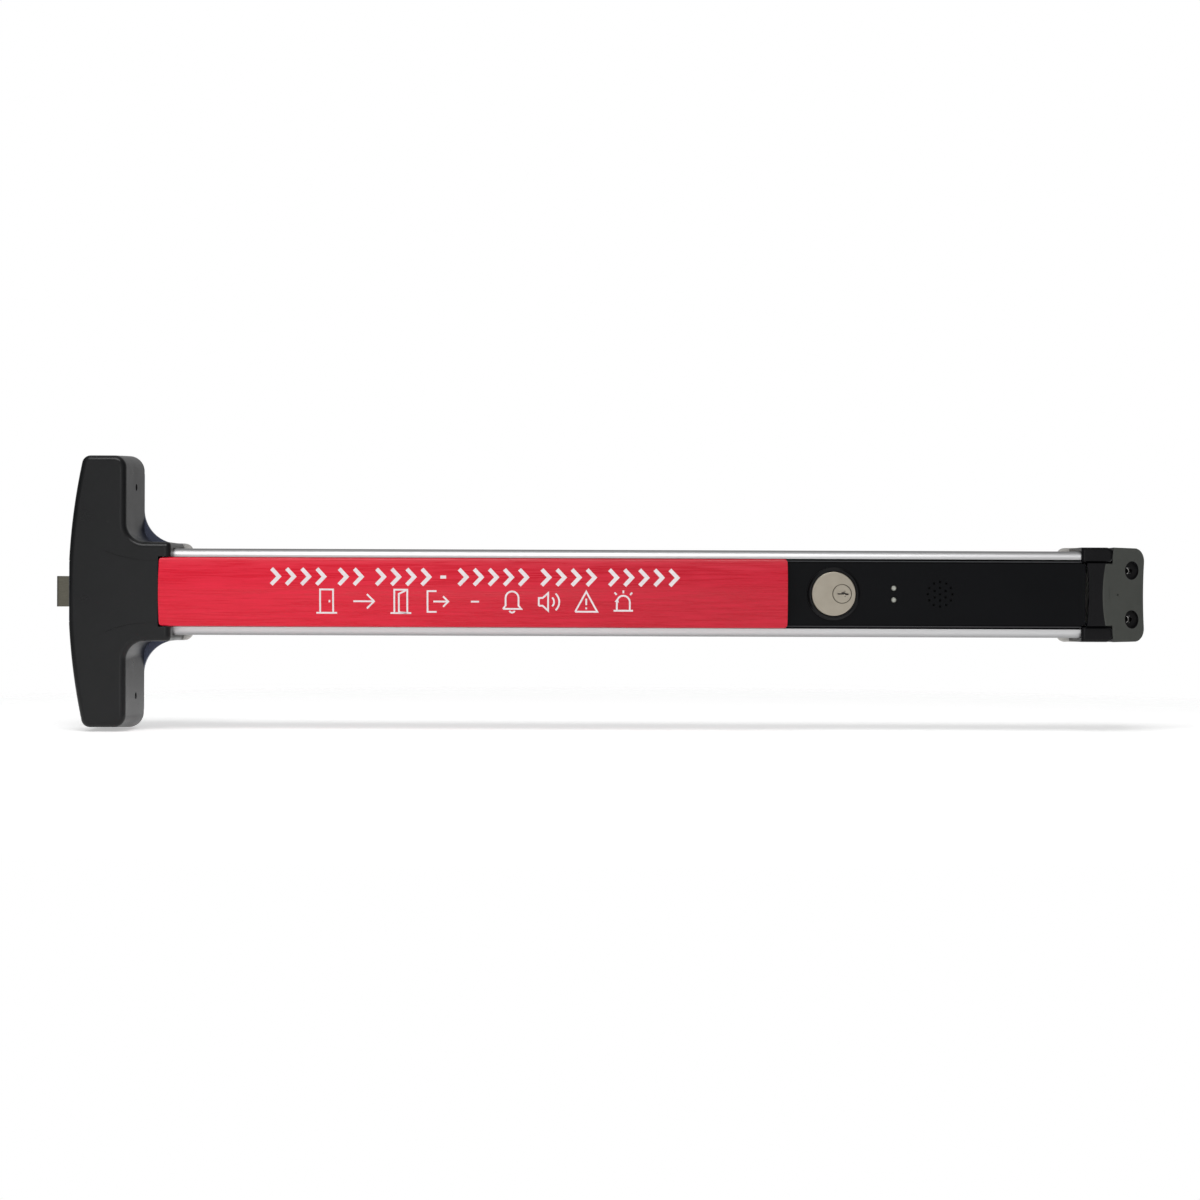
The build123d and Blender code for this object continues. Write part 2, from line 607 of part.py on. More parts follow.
def crown(half, front, bulge, back):
    """Pad section in (Y, Z): straight sides and a bowed front."""
    edge = -(front - bulge)
    bow = ThreePointArc((edge, -half), (-front, 0), (edge, half))
    sides = Polyline((edge, half), (-back, half), (-back, -half), (edge, -half))
    return make_face(bow + sides)


def touch_bar():
    """Extruded channel with a crowned front, two screw ribs inside and feet under the rail's lips."""
    back = PAD_FOOT - 2
    outer = crown(PAD_HALF, PAD_FRONT, PAD_BULGE, back)
    outer = fillet([v for v in outer.vertices() if v.X < -back - 1], 2.2)
    inner = crown(PAD_HALF - PAD_WALL, PAD_FRONT - PAD_WALL, PAD_BULGE, back - 1)
    profile = outer - inner
    for side in (-1, 1):
        rib = Pos(-(PAD_PLATE + 2 + PAD_FRONT - PAD_WALL / 2) / 2, side * PAD_RIB_Z)
        profile = profile + (rib * Rectangle(PAD_FRONT - PAD_WALL / 2 - PAD_PLATE - 2, 4) & outer)
        foot = Pos(-(PAD_FOOT - 1), side * (PAD_HALF + 1)) * Rectangle(2, 4.6)
        profile = profile + foot
    pad = extrude(Plane.YZ.offset(PAD_LEFT) * profile, PAD_RIGHT - PAD_LEFT)
    for x, z in pad_screw_places():
        pad = pad - rod_y(x, z, 1.5, PAD_PLATE, PAD_PLATE + 6)
    for end, inward in ((PAD_LEFT, 1), (PAD_RIGHT, -1)):
        for side in (-1, 1):
            pad = pad - pad_corner(end, inward, side)
    return pad


def pad_corner(end, inward, side):
    """What is cut off to round one of the pad's corners, seen from the front."""
    x0, x1 = sorted((end - inward, end + inward * PAD_CORNER))
    z0, z1 = sorted((side * (PAD_HALF - PAD_CORNER), side * (PAD_HALF + 1)))
    square = block(x0, x1, RAIL_FRONT, PAD_FRONT + 1, z0, z1)
    round_part = rod_y(end + inward * PAD_CORNER, side * (PAD_HALF - PAD_CORNER), PAD_CORNER,
                       RAIL_FRONT - 1, PAD_FRONT + 2)
    return square - round_part


def pad_screw_places():
    places = []
    for pivot in (CRANK_LEFT, CRANK_RIGHT):
        places += [(spring_x(pivot) + step, side * PAD_RIB_Z) for step in (-10, 26) for side in (-1, 1)]
    return places


def pad_bracket(pivot):
    """Steel plate under the pad with a slotted tongue for the crank's pin."""
    x_pin = pivot - CRANK_ARM * (1 + math.cos(CRANK_HALF_TURN)) / 2
    depth = CRANK_DEPTH + PAD_TRAVEL / 2
    plate = block(spring_x(pivot) - 15, spring_x(pivot) + 31, PAD_PLATE, PAD_PLATE + 2, -23, 23)
    plate = fillet(plate.edges().filter_by(Axis.Y), 4)
    tongue = block(x_pin - 7, x_pin + 7, depth - 4.6, PAD_PLATE + 0.5, -ROD_HALF, ROD_HALF)
    tongue = fillet(tongue.edges().filter_by(Axis.Z).group_by(Axis.Y)[-1], 3)
    sway = CRANK_ARM * (1 - math.cos(CRANK_HALF_TURN)) / 2
    tongue = tongue - slot_z(x_pin, depth, LINK_R + 0.12, sway + 0.1, 0, 9)
    bracket = plate + tongue
    for side in (-1, 1):
        bracket = bracket + rod_y(spring_x(pivot), side * SPRING_Z, 3.2, PAD_PLATE - 4, PAD_PLATE + 1)
    for x, z in pad_screw_places():
        bracket = bracket - rod_y(x, z, 1.7, PAD_PLATE - 1, PAD_PLATE + 3)
    return bracket


def pad_bracket_screws():
    """Screws through the pad brackets, up into the pad's ribs, with their heads facing the door."""
    screws = []
    for x, z in pad_screw_places():
        head = rod_y(x, z, 2.8, PAD_PLATE - 1.8, PAD_PLATE)
        screws.append(head + rod_y(x, z, 1.5 - SNUG, PAD_PLATE - 0.5, PAD_PLATE + 5.5))
    return screws[0] + screws[1:]


def return_springs(pivot):
    """Two compression springs between the crank's bracket and the pad's bracket."""
    foot = RAIL_FLOOR + 2 + SPRING_WIRE + 0.1
    height = PAD_PLATE - SPRING_WIRE - 0.1 - foot
    turns = 7
    one = coil(SPRING_R, SPRING_WIRE, height / turns, turns)
    pair = [Pos(spring_x(pivot), -foot, side * SPRING_Z) * Rot(90, 0, 0) * one for side in (-1, 1)]
    return pair[0] + pair[1]


def pad_end(x0, x1):
    """Moulded plug that closes one end of the pad's channel."""
    half = PAD_HALF - PAD_WALL - 0.1
    face = crown(half, PAD_FRONT - PAD_WALL - 0.1, PAD_BULGE, PAD_FOOT - 2)
    plug = extrude(Plane.YZ.offset(x0) * face, x1 - x0)
    for side in (-1, 1):
        z0, z1 = side * PAD_RIB_Z - 2.2, side * PAD_RIB_Z + 2.2
        plug = plug - block(x0 - 1, x1 + 1, PAD_PLATE + 1.8, PAD_FRONT, z0, z1)
    return plug


def lip_inside(z):
    """Depth of the inner side of the rail's lip at a height, on its round corner or its flat."""
    round_from = RAIL_HALF - RAIL_CORNER
    past = max(0.0, z - round_from)
    radius = RAIL_CORNER - RAIL_WALL
    return RAIL_FRONT - RAIL_CORNER + math.sqrt(radius**2 - past**2)


def pad_bumpers():
    """Rubber strips on the pad's feet that meet the rail's lips."""
    strips = []
    outer = PAD_HALF + 2.4
    front = lip_inside(outer) - 0.2
    for side in (-1, 1):
        z0, z1 = sorted((side * (PAD_HALF + 0.4), side * outer))
        for x in (PAD_LEFT + 30, PAD_RIGHT - 70):
            strips.append(block(x, x + 40, PAD_FOOT, front, z0, z1))
    return strips[0] + strips[1:]


# ---------------------------------------------------------------- alarm module

def board_post_places():
    return [(x, z) for x in (LAMP_X - 9, GRILLE_X + 24) for z in (-17.0, 17.0)]


def alarm_cover():
    """Moulded cover plate with a groove and a ridge along each edge, and legs into the rail."""
    left, right = PAD_RIGHT + 0.6, ALARM_RIGHT
    back = ALARM_FRONT - ALARM_PLATE
    edge_end = CAP_LEFT - LOOSE
    leg = ALARM_HALF - 1.3
    ridge = RAIL_LIP_HALF - 1.5
    cover = block(left, edge_end, back - 1.2, ALARM_FRONT - 2.0, -ridge, ridge)
    cover = cover + block(left, right, back - 1.2, ALARM_FRONT, -ALARM_HALF, ALARM_HALF)
    for side in (-1, 1):
        z0, z1 = sorted((side * (ridge - 0.7), side * ridge))
        cover = cover + block(left, edge_end, back - 1.2, ALARM_FRONT - 0.9, z0, z1)
        z0, z1 = sorted((side * leg, side * (leg + 2)))
        cover = cover + block(left, edge_end, RAIL_FRONT - 16, back, z0, z1)
        z0, z1 = sorted((side * (leg + 1.9), side * (RAIL_LIP_HALF + 1.8)))
        clip = RAIL_FRONT - RAIL_WALL - 3.5
        cover = cover + block(left, edge_end, clip, clip + 2, z0, z1)
    cover = cover - block(left - 1, right + 1, RAIL_FRONT - 20, back, -leg, leg)
    for x, z in board_post_places():
        cover = cover + rod_y(x, z, 3, board_front(), back + 0.5)
        cover = cover - rod_y(x, z, 1.1, board_front() - 1, back)
    cover = cover - rod_y(LOCK_X, 0, LOCK_BODY_R + 0.1, 0, ALARM_FRONT + 1)
    for z in (-LAMP_SPACING / 2, LAMP_SPACING / 2):
        cover = cover - rod_y(LAMP_X, z, LAMP_R + 0.15, back - 1, ALARM_FRONT + 1)
    for x, z in grille_holes():
        cover = cover - rod_y(x, z, 0.95, back - 1, ALARM_FRONT + 1)
    return cover


def grille_holes():
    """Centre hole, a ring of six and a ring of twelve."""
    places = [(GRILLE_X, 0.0)]
    for count, radius in ((6, 4.9), (12, 9.6)):
        for step in range(count):
            turn = math.tau * step / count + math.pi / 2
            places.append((GRILLE_X + radius * math.cos(turn), radius * math.sin(turn)))
    return places


def board_front():
    return ALARM_FRONT - 14.0


def circuit_board():
    """Fibreglass board on four posts behind the cover, with a few square chips."""
    front = board_front()
    board = block(LAMP_X - 14, GRILLE_X + 29, front - 1.6, front, -22, 22)
    board = board + block(LAMP_X + 10, LAMP_X + 18, front - 0.1, front + 1.6, -4, 4)
    board = board + block(LAMP_X + 2, LAMP_X + 6, front - 0.1, front + 2.4, 10, 19)
    board = board + block(GRILLE_X + 15, GRILLE_X + 27, front - 0.1, front + 5, -9, 9)
    for x, z in board_post_places():
        board = board - rod_y(x, z, 1.3, front - 3, front + 1)
    return board


def board_screws():
    """Small screws from behind, through the board into the cover's posts."""
    screws = []
    for x, z in board_post_places():
        head = rod_y(x, z, 2.1, board_front() - 3, board_front() - 1.6)
        screws.append(head + rod_y(x, z, 1.1 - SNUG, board_front() - 2, board_front() + 6))
    return screws[0] + screws[1:]


def indicator_lamps():
    """Two clear lamps with domed ends and a rim behind the cover."""
    lamps = []
    for z in (-LAMP_SPACING / 2, LAMP_SPACING / 2):
        lamp = rod_y(LAMP_X, z, LAMP_R, board_front(), ALARM_FRONT + 0.2)
        lamp = fillet(lamp.edges().filter_by(GeomType.CIRCLE).sort_by(Axis.Y)[0], LAMP_R * 0.6)
        lamps.append(lamp + rod_y(LAMP_X, z, LAMP_R + 0.4, board_front(), board_front() + 1))
    return lamps[0] + lamps[1]


def siren():
    """Round sounder on the board, right behind the grille."""
    can = rod_y(GRILLE_X, 0, 12, board_front() + 0.05, board_front() + 9)
    can = fillet(can.edges().filter_by(GeomType.CIRCLE).sort_by(Axis.Y)[0], 1)
    return can - rod_y(GRILLE_X, 0, 2, board_front() + 7, board_front() + 10)


def speaker_mesh():
    """Thin cloth disc between the sounder and the grille."""
    back = ALARM_FRONT - ALARM_PLATE
    return rod_y(GRILLE_X, 0, 11.5, back - 0.6, back - 0.05)


def battery():
    """Rectangular nine-volt battery lying along the rail."""
    left = BATTERY_LEFT
    case = block(left, left + BATTERY_LENGTH - 2.5, 8.7, 26.2, -13.2, 13.2)
    case = fillet(case.edges().filter_by(Axis.X), 2)
    for z in (-6.3, 6.3):
        case = case + rod_x(left + BATTERY_LENGTH - 3, left + BATTERY_LENGTH, 17.4, z, 2.8)
    return case


def battery_tray():
    """Moulded tray on the rail's floor that the battery clips into."""
    left, right = BATTERY_LEFT - 2.5, BATTERY_LEFT + BATTERY_LENGTH - 2
    tray = block(left, right, RAIL_FLOOR, 20, -16, 16)
    return tray - block(BATTERY_LEFT - 0.5, right + 1, 8.4, 21, -13.5, 13.5)


def battery_connector():
    """Snap cap on the battery's two studs."""
    x = BATTERY_LEFT + BATTERY_LENGTH
    cap = block(x - 2.2, x + 2.2, 11, 24, -12, 12)
    cap = fillet(cap.edges().filter_by(Axis.X), 2)
    for z in (-6.3, 6.3):
        cap = cap - rod_x(x - 4, x + 0.2, 17.4, z, 2.9)
    return cap


def lock_collar():
    """Black ring with a sloped outside, seated on the cover around the lock's face."""
    ring = rod_y(LOCK_X, 0, LOCK_FACE_R + 3.4, ALARM_FRONT, ALARM_FRONT + 2.6)
    ring = chamfer(ring.edges().filter_by(GeomType.CIRCLE).sort_by(Axis.Y)[0], 1.6)
    return ring - rod_y(LOCK_X, 0, LOCK_FACE_R + 0.6, ALARM_FRONT - 1, ALARM_FRONT + 4)


def lock_body():
    """Nickel-plated cylinder housing: a face flange and a threaded barrel, bored for the plug."""
    back = ALARM_FRONT - LOCK_LENGTH
    flange = rod_y(LOCK_X, 0, LOCK_FACE_R, ALARM_FRONT + 0.02, ALARM_FRONT + 3)
    flange = fillet(flange.edges().filter_by(GeomType.CIRCLE).sort_by(Axis.Y)[0], 0.7)
    barrel = rod_y(LOCK_X, 0, LOCK_BODY_R, back, ALARM_FRONT + 0.5)
    return flange + barrel - rod_y(plug_x(), 0, PLUG_R + RUN, back - 1, ALARM_FRONT + 5)


def plug_x():
    return LOCK_X + PLUG_OFFSET


def lock_plug():
    """Turning plug with a serrated keyway that lies along X."""
    back = ALARM_FRONT - LOCK_LENGTH
    plug = rod_y(plug_x(), 0, PLUG_R, back, ALARM_FRONT + 3.3)
    plug = fillet(plug.edges().filter_by(GeomType.CIRCLE).sort_by(Axis.Y)[0], 0.4)
    front = ALARM_FRONT + 5
    for x0, x1, z0, z1 in ((-3.6, 1.4, -0.55, 0.55), (0.9, 3.0, -0.2, 0.9), (2.5, 5.0, -0.9, 0.3)):
        key = block(plug_x() + x0, plug_x() + x1, back + 4, front, z0, z1)
        plug = plug - key
    return plug


def lock_cam():
    """Flat cam on the back of the plug that works the key switch."""
    back = ALARM_FRONT - LOCK_LENGTH
    lever = block(plug_x() - 17, plug_x(), back - 2.4, back - 0.1, -4, 4)
    lever = lever + rod_y(plug_x(), 0, 7, back - 2.4, back - 0.1)
    for z in (-4.0, 4.0):
        lever = lever - rod_y(plug_x(), z, 1.1, back - 3, back + 1)
    return fillet(lever.edges().filter_by(Axis.Y).sort_by(Axis.X)[0:2], 3)


def cam_screws():
    back = ALARM_FRONT - LOCK_LENGTH
    screws = [rod_y(plug_x(), z, 2, back - 4, back - 2.4) + rod_y(plug_x(), z, 1.0, back - 3, back - 0.1)
              for z in (-4.0, 4.0)]
    return screws[0] + screws[1]


def lock_nut():
    """Ring nut that clamps the lock to the cover from behind."""
    back = ALARM_FRONT - ALARM_PLATE
    ring = rod_y(LOCK_X, 0, 18.5, back - 4, back - 0.05)
    ring = ring - rod_y(LOCK_X, 0, LOCK_BODY_R + SNUG, back - 6, back + 1)
    for turn in range(6):
        spot = Pos(LOCK_X, 0, 0) * Rot(0, 60 * turn, 0) * Pos(18.5, 0, 0)
        cutter = Pos(0, -back + 2, 0) * spot * Rot(90, 0, 0) * Cylinder(1.6, 9)
        ring = ring - cutter
    return ring


def key_switch():
    """Small snap switch on the rail's floor, beside the cam's swing, with a leaf lever."""
    x = plug_x()
    case = block(x - 10, x + 10, RAIL_FLOOR, 23, 19, 25.5)
    leaf = block(x - 8, x + 8, 20.2, 22.4, 18.2, 18.6) + block(x + 6, x + 8, 20.2, 22.4, 18.5, 19.2)
    return case + leaf


def pad_switch():
    """Small snap switch on the rail's floor under the pad's right end."""
    x = PAD_RIGHT - 16
    case = block(x - 10, x + 10, RAIL_FLOOR, 22, -3.2, 3.2)
    return case + rod_y(x + 3, 0, 1.6, 21, 24)


# ---------------------------------------------------------------- end bracket and cap

def end_outline(half, right, left):
    face = rectangle(left, right, -half, half)
    return round_corners(round_corners(face, 11.5, right), 6, left)


def end_bolt_places():
    return [(END_BOLT_X, -END_BOLT_Z / 2), (END_BOLT_X, END_BOLT_Z / 2)]


def end_bracket():
    """Steel plate under the rail's end and the cap, with the two door holes."""
    plate = elevation(end_outline(BRACKET_HALF, CAP_RIGHT + 0.6, BRACKET_LEFT), 0, PLATE)
    for x, z in end_bolt_places():
        plate = plate - rod_y(x, z, END_BOLT_R, -1, PLATE + 1)
    for x, z in rail_screw_places()[2:]:
        plate = plate - rod_y(x, z, 2.0, -1, PLATE + 1)
    return plate


def cap_slope(inset):
    """Cylinder that hollows the cap's slope from the ridge down to its right end."""
    low = PLATE + 4
    run, fall = CAP_RIGHT - RIDGE_RIGHT, CAP_FRONT - low
    length = math.hypot(run, fall)
    x = (RIDGE_RIGHT + CAP_RIGHT) / 2 + DISH_R * fall / length
    depth = (CAP_FRONT + low) / 2 + DISH_R * run / length
    return Plane(origin=(x, -depth, 0), z_dir=(run, fall, 0)) * Cylinder(DISH_R + inset, 4 * length)


def cap_body(inset):
    """Cap without its shoulders: a block with the dished slope cut from its right."""
    half = CAP_HALF - inset
    face = rectangle(CAP_LEFT + inset, CAP_RIGHT - inset, -half, half)
    body = elevation(round_corners(face, 11 - inset, CAP_RIGHT - inset), PLATE, CAP_FRONT - inset)
    body = body - cap_slope(inset)
    for side in (-1, 1):
        z0, z1 = sorted((side * (SHOULDER_IN - inset), side * 2 * CAP_HALF))
        body = body - block(CAP_LEFT - 1, SHOULDER_RIGHT + inset, PLATE + 9, CAP_FRONT + 1, z0, z1)
    return body


def end_cap():
    """Moulded cap over the rail's end: two shoulders, a waisted ridge and a dished slope."""
    body = cap_body(0) - elevation(waist(), RAIL_FRONT - 0.2, CAP_FRONT + 1)
    for side in (-1, 1):
        body = body + shoulder(side)
    body = body - cap_body(CAP_WALL) - block(CAP_LEFT + CAP_WALL, SHOULDER_RIGHT - CAP_WALL, PLATE - 1,
                                             PLATE + 20, CAP_WALL - CAP_HALF, CAP_HALF - CAP_WALL)
    pocket = RAIL_HALF + 0.15
    body = body - block(CAP_LEFT - 1, SHOULDER_RIGHT - CAP_WALL, PLATE - 1, RAIL_FRONT + 0.15, -pocket, pocket)
    inside = cap_body(0.5)
    for x, z in end_bolt_places():
        body = body + (rod_y(x, z, 9.4, PLATE, CAP_FRONT) & inside)
        body = body - rod_y(x, z, 7, PLATE + 9, CAP_FRONT)
        body = body - rod_y(x, z, END_BOLT_R, PLATE - 1, CAP_FRONT)
    return body - rod_y(RIDGE_RIGHT + 15, 0, 0.7, PLATE + 20, CAP_FRONT)


def shoulder(side):
    """Rounded pad of the cap over one of the rail's lips."""
    z0, z1 = sorted((side * SHOULDER_IN, side * CAP_HALF))
    bump = block(CAP_LEFT, SHOULDER_RIGHT, PLATE, RAIL_FRONT + 3.2, z0, z1)
    bump = fillet(bump.edges().filter_by(Axis.Y).sort_by(Axis.X)[2:], 5)
    return fillet(bump.faces().sort_by(Axis.Y)[0].edges(), 2.5)


def waist():
    """Disc that cuts the ridge's left edge to a shallow bow between the shoulders."""
    bow = 198.0
    return Pos(RIDGE_LEFT + 1.5 - bow, 0) * Circle(bow)


PARTS = {
    "head_base": head_base,
    "head_cover": head_cover,
    "cover_screws": cover_screws,
    "latch_bracket": latch_bracket,
    "latch_bracket_screws": latch_bracket_screws,
    "latch_bolt": latch_bolt,
    "latch_drive_pin": latch_drive_pin,
    "latch_pin": latch_pin,
    "latch_spring": latch_spring,
    "latch_retractor": latch_retractor,
    "retractor_rivet": retractor_rivet,
    "rail": rail,
    "rail_screws": rail_screws,
    "crank_bracket_screws": crank_bracket_screws,
    "pull_rod": pull_rod,
    "rod_guide": rod_guide,
    "rod_guide_screws": rod_guide_screws,
    "touch_bar": touch_bar,
    "pad_bracket_screws": pad_bracket_screws,
    "pad_bumpers": pad_bumpers,
    "alarm_cover": alarm_cover,
    "circuit_board": circuit_board,
    "board_screws": board_screws,
    "indicator_lamps": indicator_lamps,
    "siren": siren,
    "speaker_mesh": speaker_mesh,
    "battery": battery,
    "battery_tray": battery_tray,
    "battery_connector": battery_connector,
    "lock_collar": lock_collar,
    "lock_body": lock_body,
    "lock_plug": lock_plug,
    "lock_cam": lock_cam,
    "cam_screws": cam_screws,
    "lock_nut": lock_nut,
    "key_switch": key_switch,
    "pad_switch": pad_switch,
    "end_bracket": end_bracket,
    "end_cap": end_cap,
}

os.makedirs("parts", exist_ok=True)
for name, make in PARTS.items():
    save(name, make())
for side, pivot in (("left", CRANK_LEFT), ("right", CRANK_RIGHT)):
    save(f"crank_bracket_{side}", crank_bracket(pivot))
    save(f"crank_pivot_{side}", crank_pivot(pivot))
    save(f"crank_{side}", crank(pivot))
    save(f"crank_pins_{side}", crank_pins(pivot))
    save(f"pad_bracket_{side}", pad_bracket(pivot))
    save(f"return_springs_{side}", return_springs(pivot))
save("pad_end_left", pad_end(PAD_LEFT + 0.6, PAD_LEFT + 3.6))
save("pad_end_right", pad_end(PAD_RIGHT - 3.6, PAD_RIGHT - 0.6))
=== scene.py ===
import math

import bmesh
import bpy
from mathutils import Matrix, Vector


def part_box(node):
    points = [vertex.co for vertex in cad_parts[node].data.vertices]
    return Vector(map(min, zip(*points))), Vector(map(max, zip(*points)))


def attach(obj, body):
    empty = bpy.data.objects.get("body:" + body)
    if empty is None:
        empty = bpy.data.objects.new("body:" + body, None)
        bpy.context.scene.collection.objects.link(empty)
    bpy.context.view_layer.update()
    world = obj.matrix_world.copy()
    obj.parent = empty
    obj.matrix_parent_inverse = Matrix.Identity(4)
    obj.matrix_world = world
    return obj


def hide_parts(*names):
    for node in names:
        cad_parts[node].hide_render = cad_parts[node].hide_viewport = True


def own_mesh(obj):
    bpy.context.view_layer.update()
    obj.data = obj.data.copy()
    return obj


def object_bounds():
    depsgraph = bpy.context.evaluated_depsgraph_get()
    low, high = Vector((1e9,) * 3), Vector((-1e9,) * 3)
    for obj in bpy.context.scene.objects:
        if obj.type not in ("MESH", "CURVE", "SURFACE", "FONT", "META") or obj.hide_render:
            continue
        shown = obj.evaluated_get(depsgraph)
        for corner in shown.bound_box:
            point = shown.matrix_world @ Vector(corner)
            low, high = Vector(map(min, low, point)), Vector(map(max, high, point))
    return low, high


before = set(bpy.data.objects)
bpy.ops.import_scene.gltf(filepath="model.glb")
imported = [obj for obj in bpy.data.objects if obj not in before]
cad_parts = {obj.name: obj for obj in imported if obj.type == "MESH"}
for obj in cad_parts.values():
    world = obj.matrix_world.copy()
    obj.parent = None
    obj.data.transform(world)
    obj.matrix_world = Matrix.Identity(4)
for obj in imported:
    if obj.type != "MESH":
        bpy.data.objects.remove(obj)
cad_box = [list(corner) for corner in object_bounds()]


# ---- Studio ---------------------------------------------------------------------------------
# A pale floor just under the latch head, a white surround, a small lamp behind the viewer, a
# key lamp above the viewer and a broad lamp overhead. The viewer stands straight in front of
# the bar, level with it.

class Shade:
    """A socket in a node tree. Arithmetic on it adds Math nodes, and node() adds any other."""

    def __init__(self, tree, socket=None):
        self.tree = tree
        self.socket = socket

    def node(self, kind, settings=None, inputs=None, output=0):
        """A node with its settings, then the values or links of its sockets."""
        made = self.tree.nodes.new("ShaderNode" + kind)
        for name, value in (settings or {}).items():
            if name == "stops":
                while len(made.color_ramp.elements) < len(value):
                    made.color_ramp.elements.new(1.0)
                for element, (place, grey) in zip(made.color_ramp.elements, value):
                    element.position = place
                    element.color = (grey, grey, grey, 1.0)
            else:
                setattr(made, name, value)
        for name, value in (inputs or {}).items():
            if isinstance(value, Shade):
                self.tree.links.new(value.socket, made.inputs[name])
            else:
                made.inputs[name].default_value = value
        return Shade(self.tree, made.outputs[output] if made.outputs else None)

    def maths(self, operation, first, second, third=0.0):
        return self.node("Math", {"operation": operation}, {0: first, 1: second, 2: third})

    def __add__(self, other):
        return self.maths("ADD", self, other)

    def __radd__(self, other):
        return self.maths("ADD", other, self)

    def __sub__(self, other):
        return self.maths("SUBTRACT", self, other)

    def __rsub__(self, other):
        return self.maths("SUBTRACT", other, self)

    def __mul__(self, other):
        return self.maths("MULTIPLY", self, other)

    def __rmul__(self, other):
        return self.maths("MULTIPLY", other, self)

    def __pow__(self, other):
        return self.maths("POWER", self, other)

    def __abs__(self):
        return self.maths("ABSOLUTE", self, 0.0)

    def step(self, low, high):
        """0 below low, 1 above high, smooth between."""
        return self.node("MapRange", {"interpolation_type": "SMOOTHSTEP"},
                         {"Value": self, "From Min": low, "From Max": high})

    def between(self, first, second):
        """The first colour where this is 0 and the second where it is 1."""
        return self.node("Mix", {"data_type": "RGBA"}, {0: self, 6: first, 7: second}, output=2)

    def point(self):
        """The point on the piece in metres, in the frame that all pieces share."""
        return self.node("TexCoord", output="Object")

    def axis(self, letter):
        """One coordinate of the point."""
        return self.node("SeparateXYZ", {}, {"Vector": self.point()}, output=letter)

    def place(self, stretch=(1.0, 1.0, 1.0)):
        """The point with each axis stretched."""
        return self.node("Mapping", {}, {"Vector": self.point(), "Scale": stretch})

    def vector(self, operation, first, second):
        return self.node("VectorMath", {"operation": operation}, {0: first, 1: second})

    def length(self):
        return self.node("VectorMath", {"operation": "LENGTH"}, {0: self}, output="Value")

    def noise(self, scale, detail=2.0, stretch=(1.0, 1.0, 1.0)):
        """Cloudy noise from 0 to 1."""
        inputs = {"Vector": self.place(stretch), "Scale": scale, "Detail": detail}
        return self.node("TexNoise", {}, inputs)

    def bump(self, height, depth):
        """A normal that follows the height, which counts for so many metres."""
        return self.node("Bump", {}, {"Height": height, "Distance": depth, "Strength": 1.0})

    def surface(self, inputs):
        body = self.node("BsdfPrincipled", {}, inputs)
        self.node("OutputMaterial", {}, {"Surface": body})


def new_finish(name):
    finish = bpy.data.materials.new(name)
    finish.use_nodes = True
    finish.node_tree.nodes.clear()
    return finish, Shade(finish.node_tree)


def grey(level):
    return (level, level, level, 1.0)


VIEW_FROM = Vector((0.387, -1.88, -0.0054))
VIEW_TILT = math.radians(-0.2)
FLOOR_GAP = 0.0004
FLOOR_HALF = 4.0
FLOOR_FADE = (0.55, 1.0)            # metres from the middle of the bar

camera_data = bpy.data.cameras.new("camera")
camera_data.lens = 70.5
camera_data.sensor_width = 36.0
camera = bpy.data.objects.new("camera", camera_data)
camera.location = VIEW_FROM
camera.rotation_euler = (math.radians(90), VIEW_TILT, 0.0)
bpy.context.scene.collection.objects.link(camera)
bpy.context.scene.camera = camera
bpy.context.scene.view_settings.view_transform = "Standard"


def soft_light(name, place, aim, width, height, power):
    data = bpy.data.lights.new(name, "AREA")
    data.shape = "RECTANGLE"
    data.size = width
    data.size_y = height
    data.energy = power
    light = bpy.data.objects.new(name, data)
    light.location = place
    light.rotation_euler = (Vector(aim) - Vector(place)).to_track_quat("-Z", "Y").to_euler()
    bpy.context.scene.collection.objects.link(light)
    return light


soft_light("front_lamp", (0.16, -2.6, 0.0), (0.3, 0.0, 0.0), 0.8, 0.4, 2.4)
soft_light("key_lamp", (0.1, -1.5, 2.0), (0.4, 0.0, 0.0), 1.6, 1.0, 38.0)
soft_light("top_lamp", (0.4, 0.1, 2.4), (0.4, 0.0, 0.0), 2.6, 1.8, 8.0)


def studio_surround():
    """White behind everything seen, and a softer grey round light on the piece itself."""
    world = bpy.data.worlds.new("surround")
    world.use_nodes = True
    world.node_tree.nodes.clear()
    shade = Shade(world.node_tree)
    direction = shade.node("TexCoord", output="Generated")
    depth = shade.node("SeparateXYZ", {}, {"Vector": direction}, output="Y")
    stops = [(0.0, 0.85), (0.04, 0.7), (0.14, 0.26), (0.5, 0.08), (0.7, 0.24), (1.0, 0.5)]
    round_light = shade.node("ValToRGB", {"stops": stops}, {"Fac": depth * 0.5 + 0.5})
    lit = shade.node("Background", {}, {"Color": round_light, "Strength": 1.0})
    seen = shade.node("Background", {}, {"Color": grey(1.0), "Strength": 1.0})
    is_seen = shade.node("LightPath", output="Is Camera Ray")
    both = shade.node("MixShader", {}, {0: is_seen, 1: lit, 2: seen})
    shade.node("OutputWorld", {}, {"Surface": both})
    return world


def pale_floor_finish():
    """Pale and matt by the piece, and fading out into the surround further off."""
    finish, shade = new_finish("pale_floor")
    cloud = shade.noise(3.0)
    pale = cloud.between(grey(0.9), grey(0.94))
    body = shade.node("BsdfPrincipled", {}, {
        "Base Color": pale,
        "Roughness": 0.95,
        "Emission Color": grey(1.0),
        "Emission Strength": 0.42,
    })
    from_middle = shade.node("Mapping", {}, {
        "Vector": shade.point(),
        "Location": (-VIEW_FROM.x, 0.0, 0.0),
    })
    clear = shade.node("BsdfTransparent")
    fade = from_middle.length().step(*FLOOR_FADE)
    both = shade.node("MixShader", {}, {0: fade, 1: body, 2: clear})
    shade.node("OutputMaterial", {}, {"Surface": both})
    return finish


